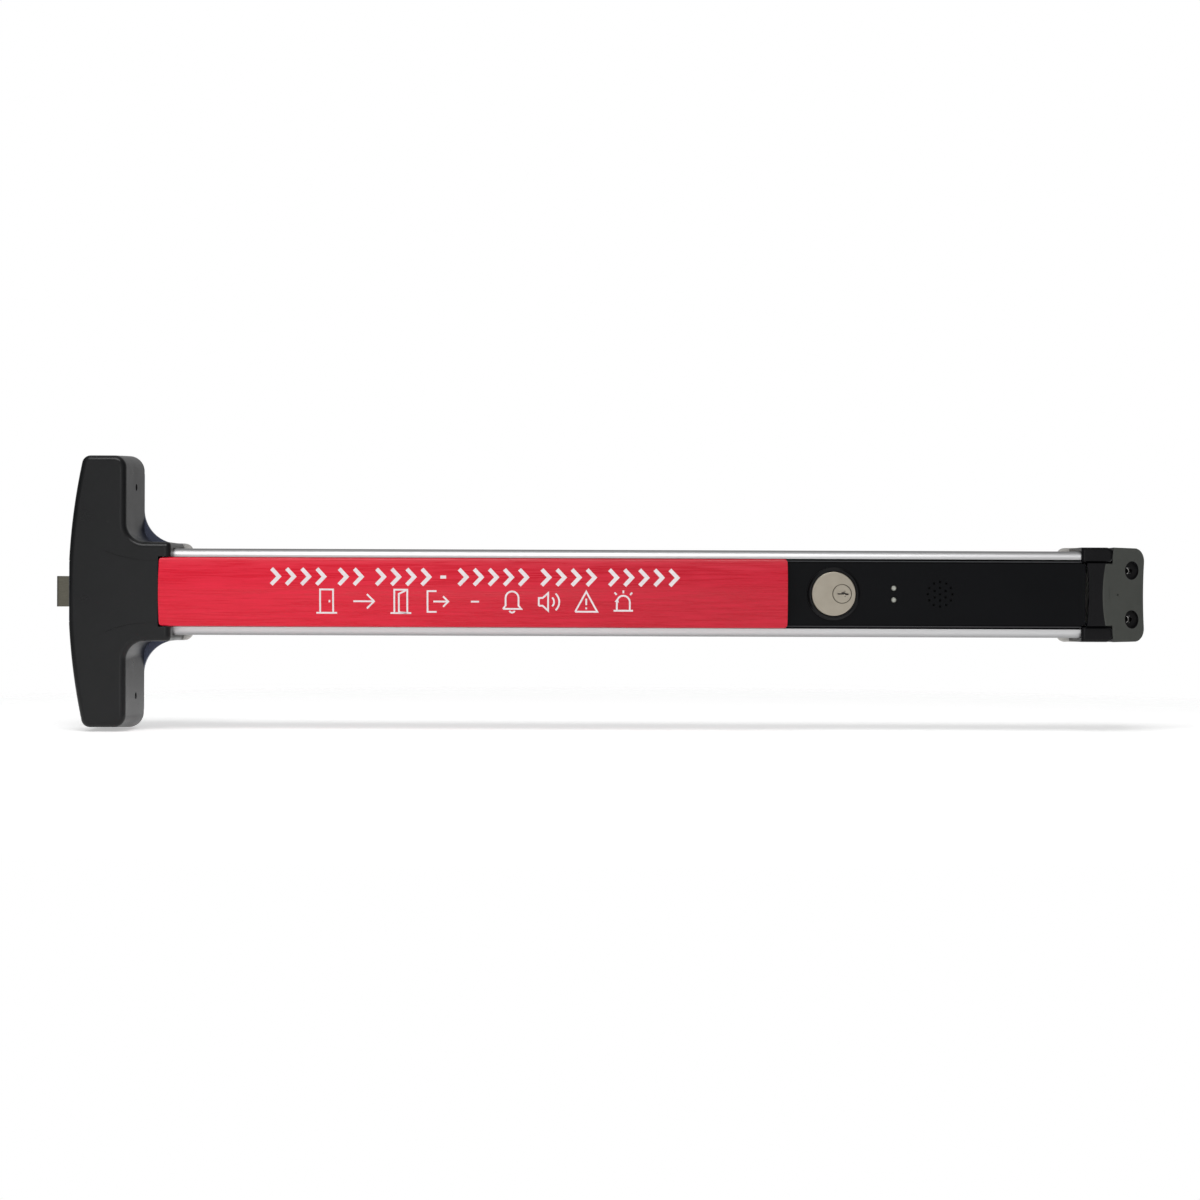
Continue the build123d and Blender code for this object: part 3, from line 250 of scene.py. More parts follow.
def pale_floor():
    mesh = bpy.data.meshes.new("floor")
    form = bmesh.new()
    bmesh.ops.create_grid(form, x_segments=1, y_segments=1, size=FLOOR_HALF)
    under = cad_box[0][2] - FLOOR_GAP
    bmesh.ops.translate(form, verts=form.verts, vec=(VIEW_FROM.x, 0.0, under))
    form.to_mesh(mesh)
    form.free()
    mesh.materials.append(pale_floor_finish())
    floor = bpy.data.objects.new("floor", mesh)
    bpy.context.scene.collection.objects.link(floor)


bpy.context.scene.world = studio_surround()
pale_floor()


def dress(finish, *names):
    """Give CAD pieces a finish."""
    for name in names:
        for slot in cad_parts[name].material_slots:
            slot.material = finish


# ---- Base plate and end bracket ---------------------------------------------------------------
# Two pressed steel plates that the screws pull against the door, and the folded bracket of the
# latch. They are zinc plated, and near the head they are painted dark blue as painted shade and a
# painted reflection of the black cover.

HEAD_SHADE_END = (0.046, 0.058)      # along the bar, just past the head's base plate


def zinc_plate_finish():
    finish, shade = new_finish("zinc_plate")
    cloud = shade.noise(90.0, 4.0)
    spangle = shade.node("TexVoronoi", {}, {"Vector": shade.place(), "Scale": 220.0})
    head_shade = 1 - shade.axis("X").step(*HEAD_SHADE_END)
    plain = cloud.between((0.50, 0.48, 0.45, 1.0), (0.62, 0.61, 0.59, 1.0))
    # painted shade and reflection: dark blue towards the head
    colour = head_shade.between(plain, (0.075, 0.085, 0.125, 1.0))
    shade.surface({
        "Base Color": colour,
        "Metallic": 0.9,
        "Roughness": 0.34 + cloud * 0.16,
        "Normal": shade.bump(spangle * 0.4 + cloud, 0.00005),
    })
    return finish


dress(zinc_plate_finish(), "head_base", "end_bracket", "latch_bracket")


# ---- Head cover and end cap -------------------------------------------------------------------
# Two black nylon mouldings that close the ends of the bar. They come out of a spark-eroded mould
# with a fine even grain, and hands and dust leave them a little uneven in gloss.

def specks(shade, scale, amount):
    """Sparse points of dust, as strong as the amount on a point and 0 between."""
    dust = shade.node("TexVoronoi", {}, {"Vector": shade.place(), "Scale": scale})
    return (1 - dust.step(0.02, 0.06)) * shade.noise(60.0, 1.0).step(0.54, 0.6) * amount


def head_cover_finish():
    finish, shade = new_finish("black_moulding")
    grain = shade.noise(2600.0, 3.0)
    patches = shade.noise(38.0, 3.0)
    black = patches.between((0.0050, 0.0053, 0.0058, 1.0), (0.0080, 0.0084, 0.0090, 1.0))
    shade.surface({
        "Base Color": specks(shade, 95.0, 0.6).between(black, (0.3, 0.3, 0.28, 1.0)),
        "Roughness": 0.23 + patches * 0.14,
        "Specular IOR Level": 0.24,
        "Normal": shade.bump(grain, 0.00003),
    })
    return finish


RIDGE_END = (0.7775, -0.057)        # X and Y where the cap's slope starts
SLOPE_END = (0.8196, -0.008)        # and where it ends
HOLLOW_RADIUS = 0.170               # of the slope, across it
SHOULDER_END = 0.7863
SHOULDER_FOOT = 0.0242
END_BOLTS = ((0.8068, 0.0, -0.0193), (0.8068, 0.0, 0.0193))
SINK_RADIUS = 0.0072


def away_from(shade, line):
    """Distance from a line that runs into the door."""
    offset = shade.vector("SUBTRACT", shade.point(), line)
    return shade.vector("MULTIPLY", offset, (1.0, 0.0, 1.0)).length()


def above_slope(shade):
    """1 on the cap's hollow slope and 0 on the pieces that stand beside it."""
    run, fall = SLOPE_END[0] - RIDGE_END[0], SLOPE_END[1] - RIDGE_END[1]
    length = math.hypot(run, fall)
    middle_x = (RIDGE_END[0] + SLOPE_END[0]) / 2 + HOLLOW_RADIUS * fall / length
    middle_y = (RIDGE_END[1] + SLOPE_END[1]) / 2 - HOLLOW_RADIUS * run / length
    offset = shade.vector("SUBTRACT", shade.point(), (middle_x, middle_y, 0.0))
    slid = shade.vector("PROJECT", offset, (run / length, fall / length, 0.0))
    away = shade.vector("SUBTRACT", offset, slid).length()
    return 1 - away.step(HOLLOW_RADIUS + 0.0001, HOLLOW_RADIUS + 0.0006)


def end_cap_finish():
    """Black shoulders and ridge; the grained slope's grey is a painted reflection, the sinks
    painted shade.
    """
    finish, shade = new_finish("cap_moulding")
    beside = abs(shade.axis("Z")).step(SHOULDER_FOOT - 0.0004, SHOULDER_FOOT)
    shoulder = beside * (1 - shade.axis("X").step(SHOULDER_END - 0.0004, SHOULDER_END))
    slope = above_slope(shade) * (1 - shoulder)
    # painted shade: the sinks are cut out of the slope and left black
    for bolt in END_BOLTS:
        slope = slope * away_from(shade, bolt).step(SINK_RADIUS - 0.0002, SINK_RADIUS + 0.0004)
    grain = shade.noise(2200.0, 3.0)
    patches = shade.noise(45.0, 3.0)
    # painted reflection: the black moulding's slope coloured grey
    reflection_grey_skin = patches.between((0.062, 0.066, 0.059, 1.0), (0.080, 0.084, 0.076, 1.0))
    black_skin = patches.between((0.0030, 0.0030, 0.0036, 1.0), (0.0055, 0.0054, 0.0062, 1.0))
    shade.surface({
        "Base Color": slope.between(black_skin, reflection_grey_skin),
        "Roughness": 0.2 + slope * 0.24 + patches * 0.08,
        "Specular IOR Level": 0.13,
        "Normal": shade.bump(grain * (slope + 0.1), 0.00003),
    })
    return finish


dress(head_cover_finish(), "head_cover")
dress(end_cap_finish(), "end_cap")


# ---- Shade plugs ------------------------------------------------------------------------------
# Thin soft rubber discs pressed into the end bracket's two door holes from behind, a dark sheet
# that stands in for the shade at the bottom of the holes. The door screws are driven straight
# through them.

PLUG_RADIUS = 0.00245
PLUG_BACK = -0.0004
PLUG_THICK = 0.0012
PLUG_DIMPLE = 0.0005
DIMPLE_RIM = 0.55                   # width of the flat rim, of the plug's radius


def rubber_finish():
    finish, shade = new_finish("rubber")
    grain = shade.noise(900.0, 3.0)
    shade.surface({
        "Base Color": grain.between((0.006, 0.006, 0.006, 1.0), (0.014, 0.014, 0.0135, 1.0)),
        "Roughness": 0.7 + grain * 0.15,
        "Specular IOR Level": 0.3,
        "Normal": shade.bump(grain, 0.00005),
    })
    return finish


def new_piece(name, form, finish):
    """A finished piece from a mesh whose points are already in place."""
    bmesh.ops.recalc_face_normals(form, faces=form.faces)
    mesh = bpy.data.meshes.new(name)
    form.to_mesh(mesh)
    form.free()
    mesh.materials.append(finish)
    piece = bpy.data.objects.new(name, mesh)
    bpy.context.scene.collection.objects.link(piece)
    return piece


def flat_disc(form, place, radius, segments):
    """A disc parallel to the door."""
    turn = Matrix.Translation(place) @ Matrix.Rotation(math.radians(90), 4, "X")
    made = bmesh.ops.create_circle(form, cap_ends=True, segments=segments, radius=radius,
                                   matrix=turn)
    return list({face for vert in made["verts"] for face in vert.link_faces})


def shade_plug(form, place):
    """One disc with a dimple pressed in its front, where the screw's point starts."""
    faces = flat_disc(form, place, PLUG_RADIUS, 32)
    raised = bmesh.ops.extrude_face_region(form, geom=faces)["geom"]
    front = [item for item in raised if isinstance(item, bmesh.types.BMFace)]
    verts = [item for item in raised if isinstance(item, bmesh.types.BMVert)]
    bmesh.ops.translate(form, verts=verts, vec=(0.0, -PLUG_THICK, 0.0))
    bmesh.ops.inset_region(form, faces=front, thickness=PLUG_RADIUS * DIMPLE_RIM,
                           depth=-PLUG_DIMPLE)


plugs = bmesh.new()
for bolt in END_BOLTS:
    shade_plug(plugs, (bolt[0], PLUG_BACK, bolt[2]))
rubber = rubber_finish()
shade_plugs = new_piece("shade_plugs", plugs, rubber)
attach(shade_plugs, "fixed_frame")


# ---- Screws -----------------------------------------------------------------------------------
# Steel screws, cold headed and thread rolled, zinc plated. They hold the covers, the latch
# bracket, the rail, the crank brackets, the rod guide, the pad brackets, the board and the cam.

def screw_steel_finish():
    finish, shade = new_finish("screw_steel")
    cloud = shade.noise(700.0, 3.0)
    shade.surface({
        "Base Color": cloud.between((0.36, 0.36, 0.37, 1.0), (0.55, 0.55, 0.54, 1.0)),
        "Metallic": 1.0,
        "Roughness": 0.28 + cloud * 0.2,
        "Normal": shade.bump(cloud, 0.00002),
    })
    return finish


dress(screw_steel_finish(), "cover_screws", "latch_bracket_screws", "rail_screws",
      "crank_bracket_screws", "rod_guide_screws", "pad_bracket_screws", "board_screws",
      "cam_screws")


# ---- Latch bolt -------------------------------------------------------------------------------
# The hardened quadrant bolt swings on a pin in its bracket. Its flat front is ground along the
# swing and worn smooth where it rides over the strike.

def latch_steel_finish():
    finish, shade = new_finish("latch_steel")
    lines = shade.noise(260.0, 4.0, (1.0, 1.0, 9.0))
    cloud = shade.noise(60.0, 2.0)
    shade.surface({
        "Base Color": lines.between((0.095, 0.090, 0.072, 1.0), (0.15, 0.143, 0.116, 1.0)),
        "Metallic": 1.0,
        "Roughness": 0.30 + cloud * 0.14,
        "Normal": shade.bump(lines, 0.00003),
    })
    return finish


dress(latch_steel_finish(), "latch_bolt")


# ---- Pins and springs -------------------------------------------------------------------------
# Ground steel pins and rivets on which the bolt and the cranks turn, and the latch's torsion
# spring, wound from hard-drawn wire of the kind that the return springs share.

def pin_steel_finish():
    finish, shade = new_finish("pin_steel")
    cloud = shade.noise(500.0, 3.0)
    shade.surface({
        "Base Color": cloud.between((0.45, 0.45, 0.46, 1.0), (0.62, 0.62, 0.61, 1.0)),
        "Metallic": 1.0,
        "Roughness": 0.18 + cloud * 0.12,
    })
    return finish


def spring_wire_finish():
    finish, shade = new_finish("spring_wire")
    cloud = shade.noise(900.0, 2.0)
    shade.surface({
        "Base Color": cloud.between((0.16, 0.16, 0.17, 1.0), (0.34, 0.33, 0.31, 1.0)),
        "Metallic": 1.0,
        "Roughness": 0.26 + cloud * 0.15,
    })
    return finish


dress(pin_steel_finish(), "latch_pin", "latch_drive_pin", "retractor_rivet", "crank_pivot_left",
      "crank_pivot_right", "crank_pins_left", "crank_pins_right")
spring_wire = spring_wire_finish()
dress(spring_wire, "latch_spring", "return_springs_left", "return_springs_right")


# ---- Return springs ---------------------------------------------------------------------------
# Open coils of spring wire, wound on a mandrel, two at each crank. They stand between the
# crank's bracket and the pad's bracket; the real springs shorten as the pad goes in, but these stay
# fixed to the frame at their rest length.

COIL_PLACES = (("left", 0.120), ("right", 0.436))
COIL_RISE = 0.0165                  # above and below the rod
COIL_RADIUS = 0.005
COIL_WIRE = 0.0008                  # radius of the wire
COIL_TURNS = 7
COIL_STEPS = 28                     # in one turn
COIL_SIDES = 10
COIL_FOOT = -0.0089                 # the wire's middle at the crank's bracket
COIL_HEAD = -0.0577                 # and at the pad's bracket


def wound_coil(form, place):
    """One spring: a ring of wire spun round the spring's own axis while it moves along it."""
    side = place + Vector((COIL_RADIUS, 0.0, 0.0))
    ring = bmesh.ops.create_circle(form, cap_ends=False, segments=COIL_SIDES, radius=COIL_WIRE,
                                   matrix=Matrix.Translation(side))
    wire = list({edge for vert in ring["verts"] for edge in vert.link_edges})
    steps = COIL_TURNS * COIL_STEPS
    bmesh.ops.spin(form, geom=ring["verts"] + wire, cent=place, axis=(0.0, 1.0, 0.0),
                   dvec=(0.0, (COIL_HEAD - COIL_FOOT) / steps, 0.0),
                   angle=math.tau * COIL_TURNS, steps=steps, use_duplicate=False)
    bmesh.ops.holes_fill(form, edges=[edge for edge in form.edges if edge.is_boundary], sides=0)


for coil_side, coil_x in COIL_PLACES:
    coils = bmesh.new()
    for rise in (-COIL_RISE, COIL_RISE):
        wound_coil(coils, Vector((coil_x, COIL_FOOT, rise)))
    spring_pair = new_piece("return_coils_" + coil_side, coils, spring_wire)
    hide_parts("return_springs_" + coil_side)
    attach(spring_pair, "fixed_frame")
    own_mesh(spring_pair)


# ---- Cranks, rod and their brackets -----------------------------------------------------------
# Pressed and folded steel pieces inside the rail that carry the pad's push to the latch. They
# are zinc plated with a faint yellow cast and show the roll marks of the strip.

def pressed_steel_finish():
    finish, shade = new_finish("pressed_steel")
    rolled = shade.noise(120.0, 3.0, (0.3, 4.0, 4.0))
    cloud = shade.noise(45.0, 2.0)
    shade.surface({
        "Base Color": cloud.between((0.42, 0.41, 0.36, 1.0), (0.60, 0.59, 0.55, 1.0)),
        "Metallic": 1.0,
        "Roughness": 0.30 + rolled * 0.18,
        "Normal": shade.bump(rolled, 0.00003),
    })
    return finish


dress(pressed_steel_finish(), "latch_retractor", "pull_rod", "crank_left", "crank_right",
      "crank_bracket_left", "crank_bracket_right", "pad_bracket_left", "pad_bracket_right",
      "lock_cam", "lock_nut")


# ---- Rod guide and battery tray ---------------------------------------------------------------
# Natural acetal mouldings, waxy and slightly translucent. The guide is screwed to the rail's
# floor and carries the pull rod, and the tray holds the battery.

def acetal_finish():
    finish, shade = new_finish("acetal")
    cloud = shade.noise(80.0, 3.0)
    shade.surface({
        "Base Color": cloud.between((0.60, 0.59, 0.54, 1.0), (0.70, 0.69, 0.65, 1.0)),
        "Roughness": 0.42 + cloud * 0.1,
        "Subsurface Weight": 0.1,
    })
    return finish


dress(acetal_finish(), "rod_guide", "battery_tray")


# ---- Rail -------------------------------------------------------------------------------------
# One aluminium extrusion, satin anodised. The die leaves faint lines along its whole length,
# and the lips are rounded over. Its colour is painted lighter inside the lips' inner edges as
# painted sheen, and darker beyond their outer edges as painted shade.

LIP_INNER = 0.0298                  # heights of a lip's edges
LIP_OUTER = 0.0336


def satin_aluminium_finish():
    finish, shade = new_finish("satin_aluminium")
    die_lines = shade.noise(900.0, 4.0, (0.004, 1.0, 1.0))
    cloud = shade.noise(14.0, 2.0, (0.3, 1.0, 1.0))
    # painted sheen inside the lips' inner edges, painted shade beyond their outer edges
    lip_shade = abs(shade.axis("Z")).step(LIP_INNER, LIP_OUTER)
    sheen_skin = die_lines.between((0.52, 0.52, 0.525, 1.0), (0.60, 0.60, 0.605, 1.0))
    shaded_skin = die_lines.between((0.31, 0.31, 0.315, 1.0), (0.38, 0.38, 0.385, 1.0))
    shade.surface({
        "Base Color": lip_shade.between(sheen_skin, shaded_skin),
        "Metallic": 1.0,
        "Roughness": 0.37 + die_lines * 0.12 + cloud * 0.05,
        "Normal": shade.bump(die_lines, 0.00002),
    })
    return finish


dress(satin_aluminium_finish(), "rail")


# ---- Push pad ---------------------------------------------------------------------------------
# A crowned channel that slides into the rail when it is pushed. Its red coat goes over metal
# that was brushed along its length, so the brush lines show through it, and its red is painted
# darker towards the alarm as painted shade. Black plugs close the ends, and rubber bumpers stop the
# pad.

PAD_SHADE_CHANGE = (0.10, 0.48)          # along the bar, from lit red to painted shade


def red_pad_finish():
    finish, shade = new_finish("red_pad")
    long_lines = shade.noise(420.0, 3.0, (0.05, 1.0, 1.0))
    short_lines = shade.noise(1500.0, 2.0, (0.03, 1.0, 1.0))
    lines = long_lines * 0.6 + short_lines * 0.4
    bright = lines.step(0.40, 0.68)
    lit_red = bright.between((0.62, 0.0035, 0.023, 1.0), (0.71, 0.010, 0.038, 1.0))
    shaded_red = bright.between((0.47, 0.0025, 0.018, 1.0), (0.56, 0.008, 0.031, 1.0))
    shade.surface({
        # painted shade: the red darkens towards the alarm
        "Base Color": shade.axis("X").step(*PAD_SHADE_CHANGE).between(lit_red, shaded_red),
        "Roughness": 0.25 + bright * 0.2,
        "Specular IOR Level": 0.3,
        "Normal": shade.bump(lines, 0.00004),
    })
    return finish


def plug_plastic_finish():
    finish, shade = new_finish("plug_plastic")
    grain = shade.noise(1800.0, 2.0)
    shade.surface({
        "Base Color": grain.between((0.018, 0.018, 0.02, 1.0), (0.03, 0.03, 0.032, 1.0)),
        "Roughness": 0.5,
        "Normal": shade.bump(grain, 0.00003),
    })
    return finish


dress(red_pad_finish(), "touch_bar")
dress(plug_plastic_finish(), "pad_end_left", "pad_end_right", "key_switch", "pad_switch")
dress(rubber, "pad_bumpers", "battery_connector")


# ---- Marks on the pad -------------------------------------------------------------------------
# Two rows of white marks screen printed on the crown: chevrons that ask for a push along the
# top, and below them small signs for a door that opens and an alarm that sounds.

CROWN_HALF = 0.0267
CROWN_FRONT = 0.0685
CROWN_RISE = 0.0045
CROWN_RADIUS = (CROWN_HALF**2 + CROWN_RISE**2) / (2 * CROWN_RISE)
INK = 0.00006
CUT_STEP = 0.0022
ROW_START = 0.1305
ROW_HEIGHT = 0.0119
ROW_TALL = 0.0123
CHEVRON_WIDE = 0.0088
CHEVRON_STROKE = 0.0030
CHEVRON_PITCH = 0.01165
GROUP_GAP = 0.0056
GROUPS = (4, 2, 4, 0, 5, 4, 5)      # chevrons in each group, and 0 for a dash
DASH_LONG = 0.0045
SIGN_START = 0.1762
SIGN_PITCH = 0.0286
SIGN_HEIGHT = -0.0070
SIGN_STROKE = 0.00135


def arc(middle, radius, start, end, count=8):
    """Points along part of a circle, with its angles in degrees from the bar's direction."""
    turns = [math.radians(start + (end - start) * step / count) for step in range(count + 1)]
    return [(middle[0] + radius * math.cos(t), middle[1] + radius * math.sin(t)) for t in turns]


DOOR = [(-5, -9), (-5, 9), (5, 9), (5, -9)]
SIGNS = {
    "door": [DOOR, [(2.2, -0.9), (2.2, 0.9)], [(-8, -9), (8, -9)]],
    "arrow": [[(-8, 0), (7.5, 0)], [(2.5, 5.5), (8, 0), (2.5, -5.5)]],
    "open_door": [DOOR, [(5, 9), (-1.5, 5.8), (-1.5, -8.4), (5, -9)], [(-8, -9), (8, -9)]],
    "way_out": [[(-1, 8), (-8, 8), (-8, -8), (-1, -8)], [(-3.5, 0), (8, 0)],
                [(4, 4), (8, 0), (4, -4)]],
    "dash": [[(-3.2, 0), (3.2, 0)]],
    "bell": [[(-7, -5.5), (-5, -3)] + arc((0, 3), 5, 180, 0) + [(5, -3), (7, -5.5), (-7, -5.5)],
             arc((0, -6.2), 2.2, 200, 340, 4)],
    "sound": [[(-8, -3), (-8, 3), (-5, 3), (-0.8, 6.8), (-0.8, -6.8), (-5, -3), (-8, -3)],
              arc((-0.8, 0), 4.6, -48, 48, 6), arc((-0.8, 0), 8.6, -48, 48, 8)],
    "warning": [[(-8.5, -7.5), (0, 8), (8.5, -7.5), (-8.5, -7.5)], [(0, 2.6), (0, -2.4)],
                [(0, -4.2), (0, -5.6)]],
    "siren": [[(-5, -6), (-5, 0)] + arc((0, 0), 5, 180, 0) + [(5, -6)], [(-7.5, -6.6), (7.5, -6.6)],
              [(0, 6.8), (0, 9)], [(-5.2, 5.6), (-6.8, 7.4)], [(5.2, 5.6), (6.8, 7.4)]],
}
SIGN_ROW = ("door", "arrow", "open_door", "way_out", "dash", "bell", "sound", "warning", "siren")


def mitre(points, index, half):
    """Offset of a stroke's edge at one of its points, so that its width stays even."""
    here = Vector(points[index])
    before = here - Vector(points[index - 1]) if index else Vector(points[1]) - here
    after = Vector(points[index + 1]) - here if index + 1 < len(points) else before
    normal = (before.normalized() + after.normalized()).normalized().orthogonal()
    across = before.normalized().orthogonal()
    return normal * half / max(0.4, normal.dot(across))


def stroke(form, points, width):
    """Flat ribbon along points in the plane of the bar's front."""
    offset = mitre(points, 0, width / 2)
    start = [form.verts.new((points[0][0] + sign * offset.x, 0.0, points[0][1] + sign * offset.y))
             for sign in (-1, 1)]
    edge = form.edges.new(start)
    for index in range(1, len(points)):
        offset = mitre(points, index, width / 2)
        made = bmesh.ops.extrude_edge_only(form, edges=[edge])["geom"]
        new_verts = [item for item in made if isinstance(item, bmesh.types.BMVert)]
        edge = next(item for item in made if isinstance(item, bmesh.types.BMEdge)
                    and all(vert in new_verts for vert in item.verts))
        first = next(vert for vert in new_verts
                     if any(side.other_vert(vert) is start[0] for side in vert.link_edges))
        second = new_verts[0] if new_verts[1] is first else new_verts[1]
        for vert, sign in ((first, -1), (second, 1)):
            vert.co = (points[index][0] + sign * offset.x, 0.0, points[index][1] + sign * offset.y)
        start = [first, second]


def face_forward(form):
    """Turn every face away from the door."""
    for face in form.faces:
        face.normal_update()
        if face.normal.y > 0:
            face.normal_flip()


def lay_on_crown(form):
    """Cut the flat ribbons into narrow bands, bend them over the crown and give them thickness."""
    height = -CROWN_HALF
    while height < CROWN_HALF:
        geometry = form.verts[:] + form.edges[:] + form.faces[:]
        bmesh.ops.bisect_plane(form, geom=geometry, plane_co=(0, 0, height), plane_no=(0, 0, 1))
        height += CUT_STEP
    for vert in form.verts:
        drop = CROWN_RADIUS - math.sqrt(CROWN_RADIUS**2 - vert.co.z**2)
        vert.co.y = drop - CROWN_FRONT - INK / 3
    face_forward(form)
    bmesh.ops.solidify(form, geom=form.faces[:], thickness=INK)


def print_finish():
    finish, shade = new_finish("white_print")
    worn = shade.noise(700.0, 3.0, (0.12, 1.0, 1.0))
    shade.surface({
        "Base Color": worn.between((0.66, 0.58, 0.60, 1.0), (0.80, 0.76, 0.77, 1.0)),
        "Roughness": 0.38 + worn * 0.15,
        "Specular IOR Level": 0.4,
    })
    return finish


chevrons = bmesh.new()
reach = ROW_START
half = ROW_TALL / 2
for count in GROUPS:
    for _ in range(count):
        tip = (reach + CHEVRON_WIDE, ROW_HEIGHT)
        back = reach + CHEVRON_STROKE
        arms = [(back, ROW_HEIGHT + half), tip, (back, ROW_HEIGHT - half)]
        stroke(chevrons, arms, CHEVRON_STROKE)
        reach += CHEVRON_PITCH
    if count == 0:
        dash = [(reach, ROW_HEIGHT), (reach + DASH_LONG, ROW_HEIGHT)]
        stroke(chevrons, dash, CHEVRON_STROKE * 0.8)
        reach += CHEVRON_PITCH * 0.5
    reach += GROUP_GAP
lay_on_crown(chevrons)

signs = bmesh.new()
for place, sign in enumerate(SIGN_ROW):
    middle = SIGN_START + SIGN_PITCH * place
    for line in SIGNS[sign]:
        points = [(middle + x / 1000, SIGN_HEIGHT + z / 1000) for x, z in line]
        stroke(signs, points, SIGN_STROKE)
lay_on_crown(signs)

white_print = print_finish()
for name, form in (("pad_chevrons", chevrons), ("pad_signs", signs)):
    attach(new_piece(name, form, white_print), "push_pad")


# ---- Alarm cover ------------------------------------------------------------------------------
# A smooth black moulding that snaps over the electronics, with a bead along both edges and a
# pattern of moulded holes. A black cloth behind the holes keeps dust out of the sounder.

BEAD_IN = 0.0248                    # heights of a bead's edges
BEAD_OUT = 0.0258


def alarm_cover_finish():
    """Near black, with the two beads painted a little paler than the face between them, as a
    painted highlight.
    """
    finish, shade = new_finish("alarm_black")
    away = abs(shade.axis("Z"))
    bead = away.step(BEAD_IN, BEAD_IN + 0.0001) * (1 - away.step(BEAD_OUT, BEAD_OUT + 0.0001))
    flow = shade.noise(30.0, 3.0, (0.5, 1.0, 1.0))
    grain = shade.noise(2000.0, 2.0)
    black = flow.between((0.0022, 0.0024, 0.0029, 1.0), (0.0040, 0.0043, 0.0052, 1.0))
    shade.surface({
        # painted highlight: the beads are coloured paler
        "Base Color": bead.between(black, (0.055, 0.056, 0.060, 1.0)),
        "Roughness": 0.27 + flow * 0.14,
        "Specular IOR Level": 0.07,
        "Normal": shade.bump(grain, 0.00002),
    })
    return finish


def speaker_cloth_finish():
    finish, shade = new_finish("speaker_cloth")
    weave = shade.node("TexChecker", {}, {"Vector": shade.place(), "Scale": 2500.0}, output="Fac")
    shade.surface({
        "Base Color": weave.between((0.001, 0.001, 0.001, 1.0), (0.004, 0.004, 0.004, 1.0)),
        "Roughness": 0.9,
    })
    return finish


dress(alarm_cover_finish(), "alarm_cover", "siren")
dress(speaker_cloth_finish(), "speaker_mesh")


# ---- Lock -------------------------------------------------------------------------------------
# A nickel-plated cylinder lock with a turned face, clamped through the cover by a nut. Its plug
# turns a cam against the key switch. A black trim ring surrounds it, and a thin dark shape on the
# plug's face is painted shade for the keyway and three pin holes.

SEAM_RADIUS = 0.0072                # the gap between plug and body, painted dark as painted shade
KEYWAY = [(-2.4, 0.0), (0.2, 0.1), (0.9, 1.3), (1.9, 0.7), (2.6, -0.2), (3.2, 0.5)]
KEYWAY_STROKE = 0.0009
PIN_DOTS = ((-0.2, 0.9), (2.1, 2.0), (2.3, -1.9))
PIN_DOT_RADIUS = 0.00045


def satin_nickel_finish(name, centre, seam):
    """Satin nickel turned about its own axis, with a painted shade line where the plug's seam lies.
    """
    finish, shade = new_finish(name)
    turned = shade.node("TexNoise", {"noise_dimensions": "1D"},
                        {"W": away_from(shade, centre), "Scale": 2600.0})
    cloud = shade.noise(120.0, 2.0)
    nickel = cloud.between((0.315, 0.285, 0.235, 1.0), (0.38, 0.345, 0.285, 1.0))
    gap = away_from(shade, seam)
    # painted shade in the seam between plug and body
    seam_shade = gap.step(SEAM_RADIUS - 0.0004, SEAM_RADIUS - 0.0001)
    seam_shade = seam_shade * (1 - gap.step(SEAM_RADIUS + 0.0002, SEAM_RADIUS + 0.0006))
    shade.surface({
        "Base Color": (seam_shade * 0.85).between(nickel, (0.030, 0.022, 0.012, 1.0)),
        "Metallic": 1.0,
        "Roughness": 0.33 + turned * 0.14,
        "Normal": shade.bump(turned, 0.00002),
    })
    return finish


def black_collar_finish():
    finish, shade = new_finish("black_collar")
    cloud = shade.noise(150.0, 2.0)
    shade.surface({
        "Base Color": cloud.between((0.003, 0.003, 0.0035, 1.0), (0.006, 0.006, 0.0066, 1.0)),
        "Roughness": 0.24 + cloud * 0.12,
        "Specular IOR Level": 0.14,
    })
    return finish


def keyway_finish():
    finish, shade = new_finish("keyway_dark")
    cloud = shade.noise(900.0, 2.0)
    shade.surface({
        "Base Color": cloud.between((0.008, 0.007, 0.006, 1.0), (0.035, 0.028, 0.018, 1.0)),
        "Roughness": 0.55,
    })
    return finish


plug_low, plug_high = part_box("lock_plug")
body_low, body_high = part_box("lock_body")
plug_middle = (plug_low + plug_high) / 2
body_middle = (body_low + body_high) / 2
dress(satin_nickel_finish("body_nickel", body_middle, plug_middle), "lock_body")
dress(satin_nickel_finish("plug_nickel", plug_middle, plug_middle), "lock_plug")
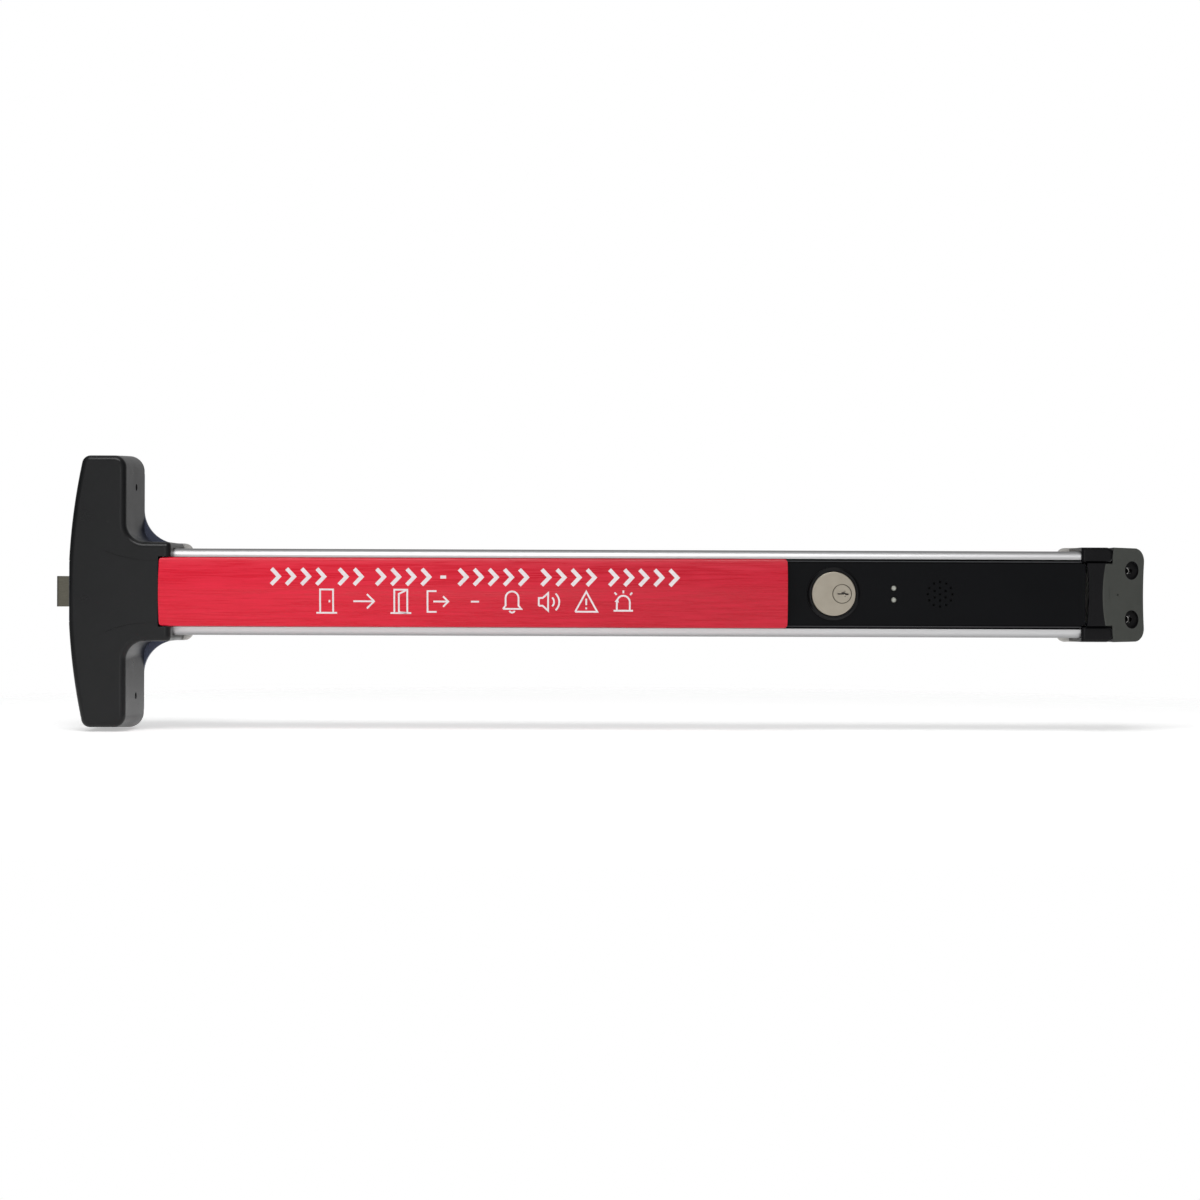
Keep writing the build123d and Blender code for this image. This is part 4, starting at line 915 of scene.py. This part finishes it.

# painted shade: the keyway's slot and pin holes drawn as a dark film on the plug
keyway = bmesh.new()
stroke(keyway, [(plug_middle.x + x / 1000, z / 1000) for x, z in KEYWAY], KEYWAY_STROKE)
for x, z in PIN_DOTS:
    flat_disc(keyway, (plug_middle.x + x / 1000, 0.0, z / 1000), PIN_DOT_RADIUS, 12)
face_forward(keyway)
bmesh.ops.translate(keyway, verts=keyway.verts, vec=(0.0, plug_low.y - INK / 3, 0.0))
bmesh.ops.solidify(keyway, geom=keyway.faces[:], thickness=INK)
keyway_shadow = new_piece("keyway_shadow", keyway, keyway_finish())
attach(keyway_shadow, "key_plug")
dress(black_collar_finish(), "lock_collar")


# ---- Indicator lamps --------------------------------------------------------------------------
# Two light-emitting diodes soldered to the circuit board, each a chip in a reflecting bowl with
# clear epoxy cast round it. They look out through holes in the cover.

LAMP_X = 0.6153
LAMP_HEIGHT = 0.00455
LENS_GLINT_EDGE = (0.0008, 0.0024)        # distances from the lamp's middle


def clear_lamp_finish():
    """Pale grey in the middle as a painted reflection in the lens, and dark at the rim."""
    finish, shade = new_finish("clear_lamp")
    upper = away_from(shade, (LAMP_X, 0.0, LAMP_HEIGHT))
    lower = away_from(shade, (LAMP_X, 0.0, -LAMP_HEIGHT))
    # painted reflection: pale centre of each lamp
    rim = shade.maths("MINIMUM", upper, lower).step(*LENS_GLINT_EDGE)
    shade.surface({
        "Base Color": rim.between((0.33, 0.34, 0.30, 1.0), (0.03, 0.03, 0.027, 1.0)),
        "Roughness": 0.14,
    })
    return finish


dress(clear_lamp_finish(), "indicator_lamps")


# ---- Circuit board and battery ----------------------------------------------------------------
# A fibreglass board with its chips, green lacquered over etched copper and screwed behind the
# cover, and a nine-volt battery in a painted steel case.

def board_finish():
    finish, shade = new_finish("board_green")
    tracks = shade.node("TexBrick", {}, {"Vector": shade.place(), "Scale": 320.0}, output="Fac")
    shade.surface({
        "Base Color": tracks.between((0.012, 0.10, 0.035, 1.0), (0.03, 0.20, 0.07, 1.0)),
        "Roughness": 0.35,
    })
    return finish


def battery_case_finish():
    finish, shade = new_finish("battery_case")
    cloud = shade.noise(60.0, 2.0)
    shade.surface({
        "Base Color": cloud.between((0.10, 0.11, 0.13, 1.0), (0.15, 0.16, 0.18, 1.0)),
        "Metallic": 0.4,
        "Roughness": 0.35,
    })
    return finish


dress(board_finish(), "circuit_board")
dress(battery_case_finish(), "battery")
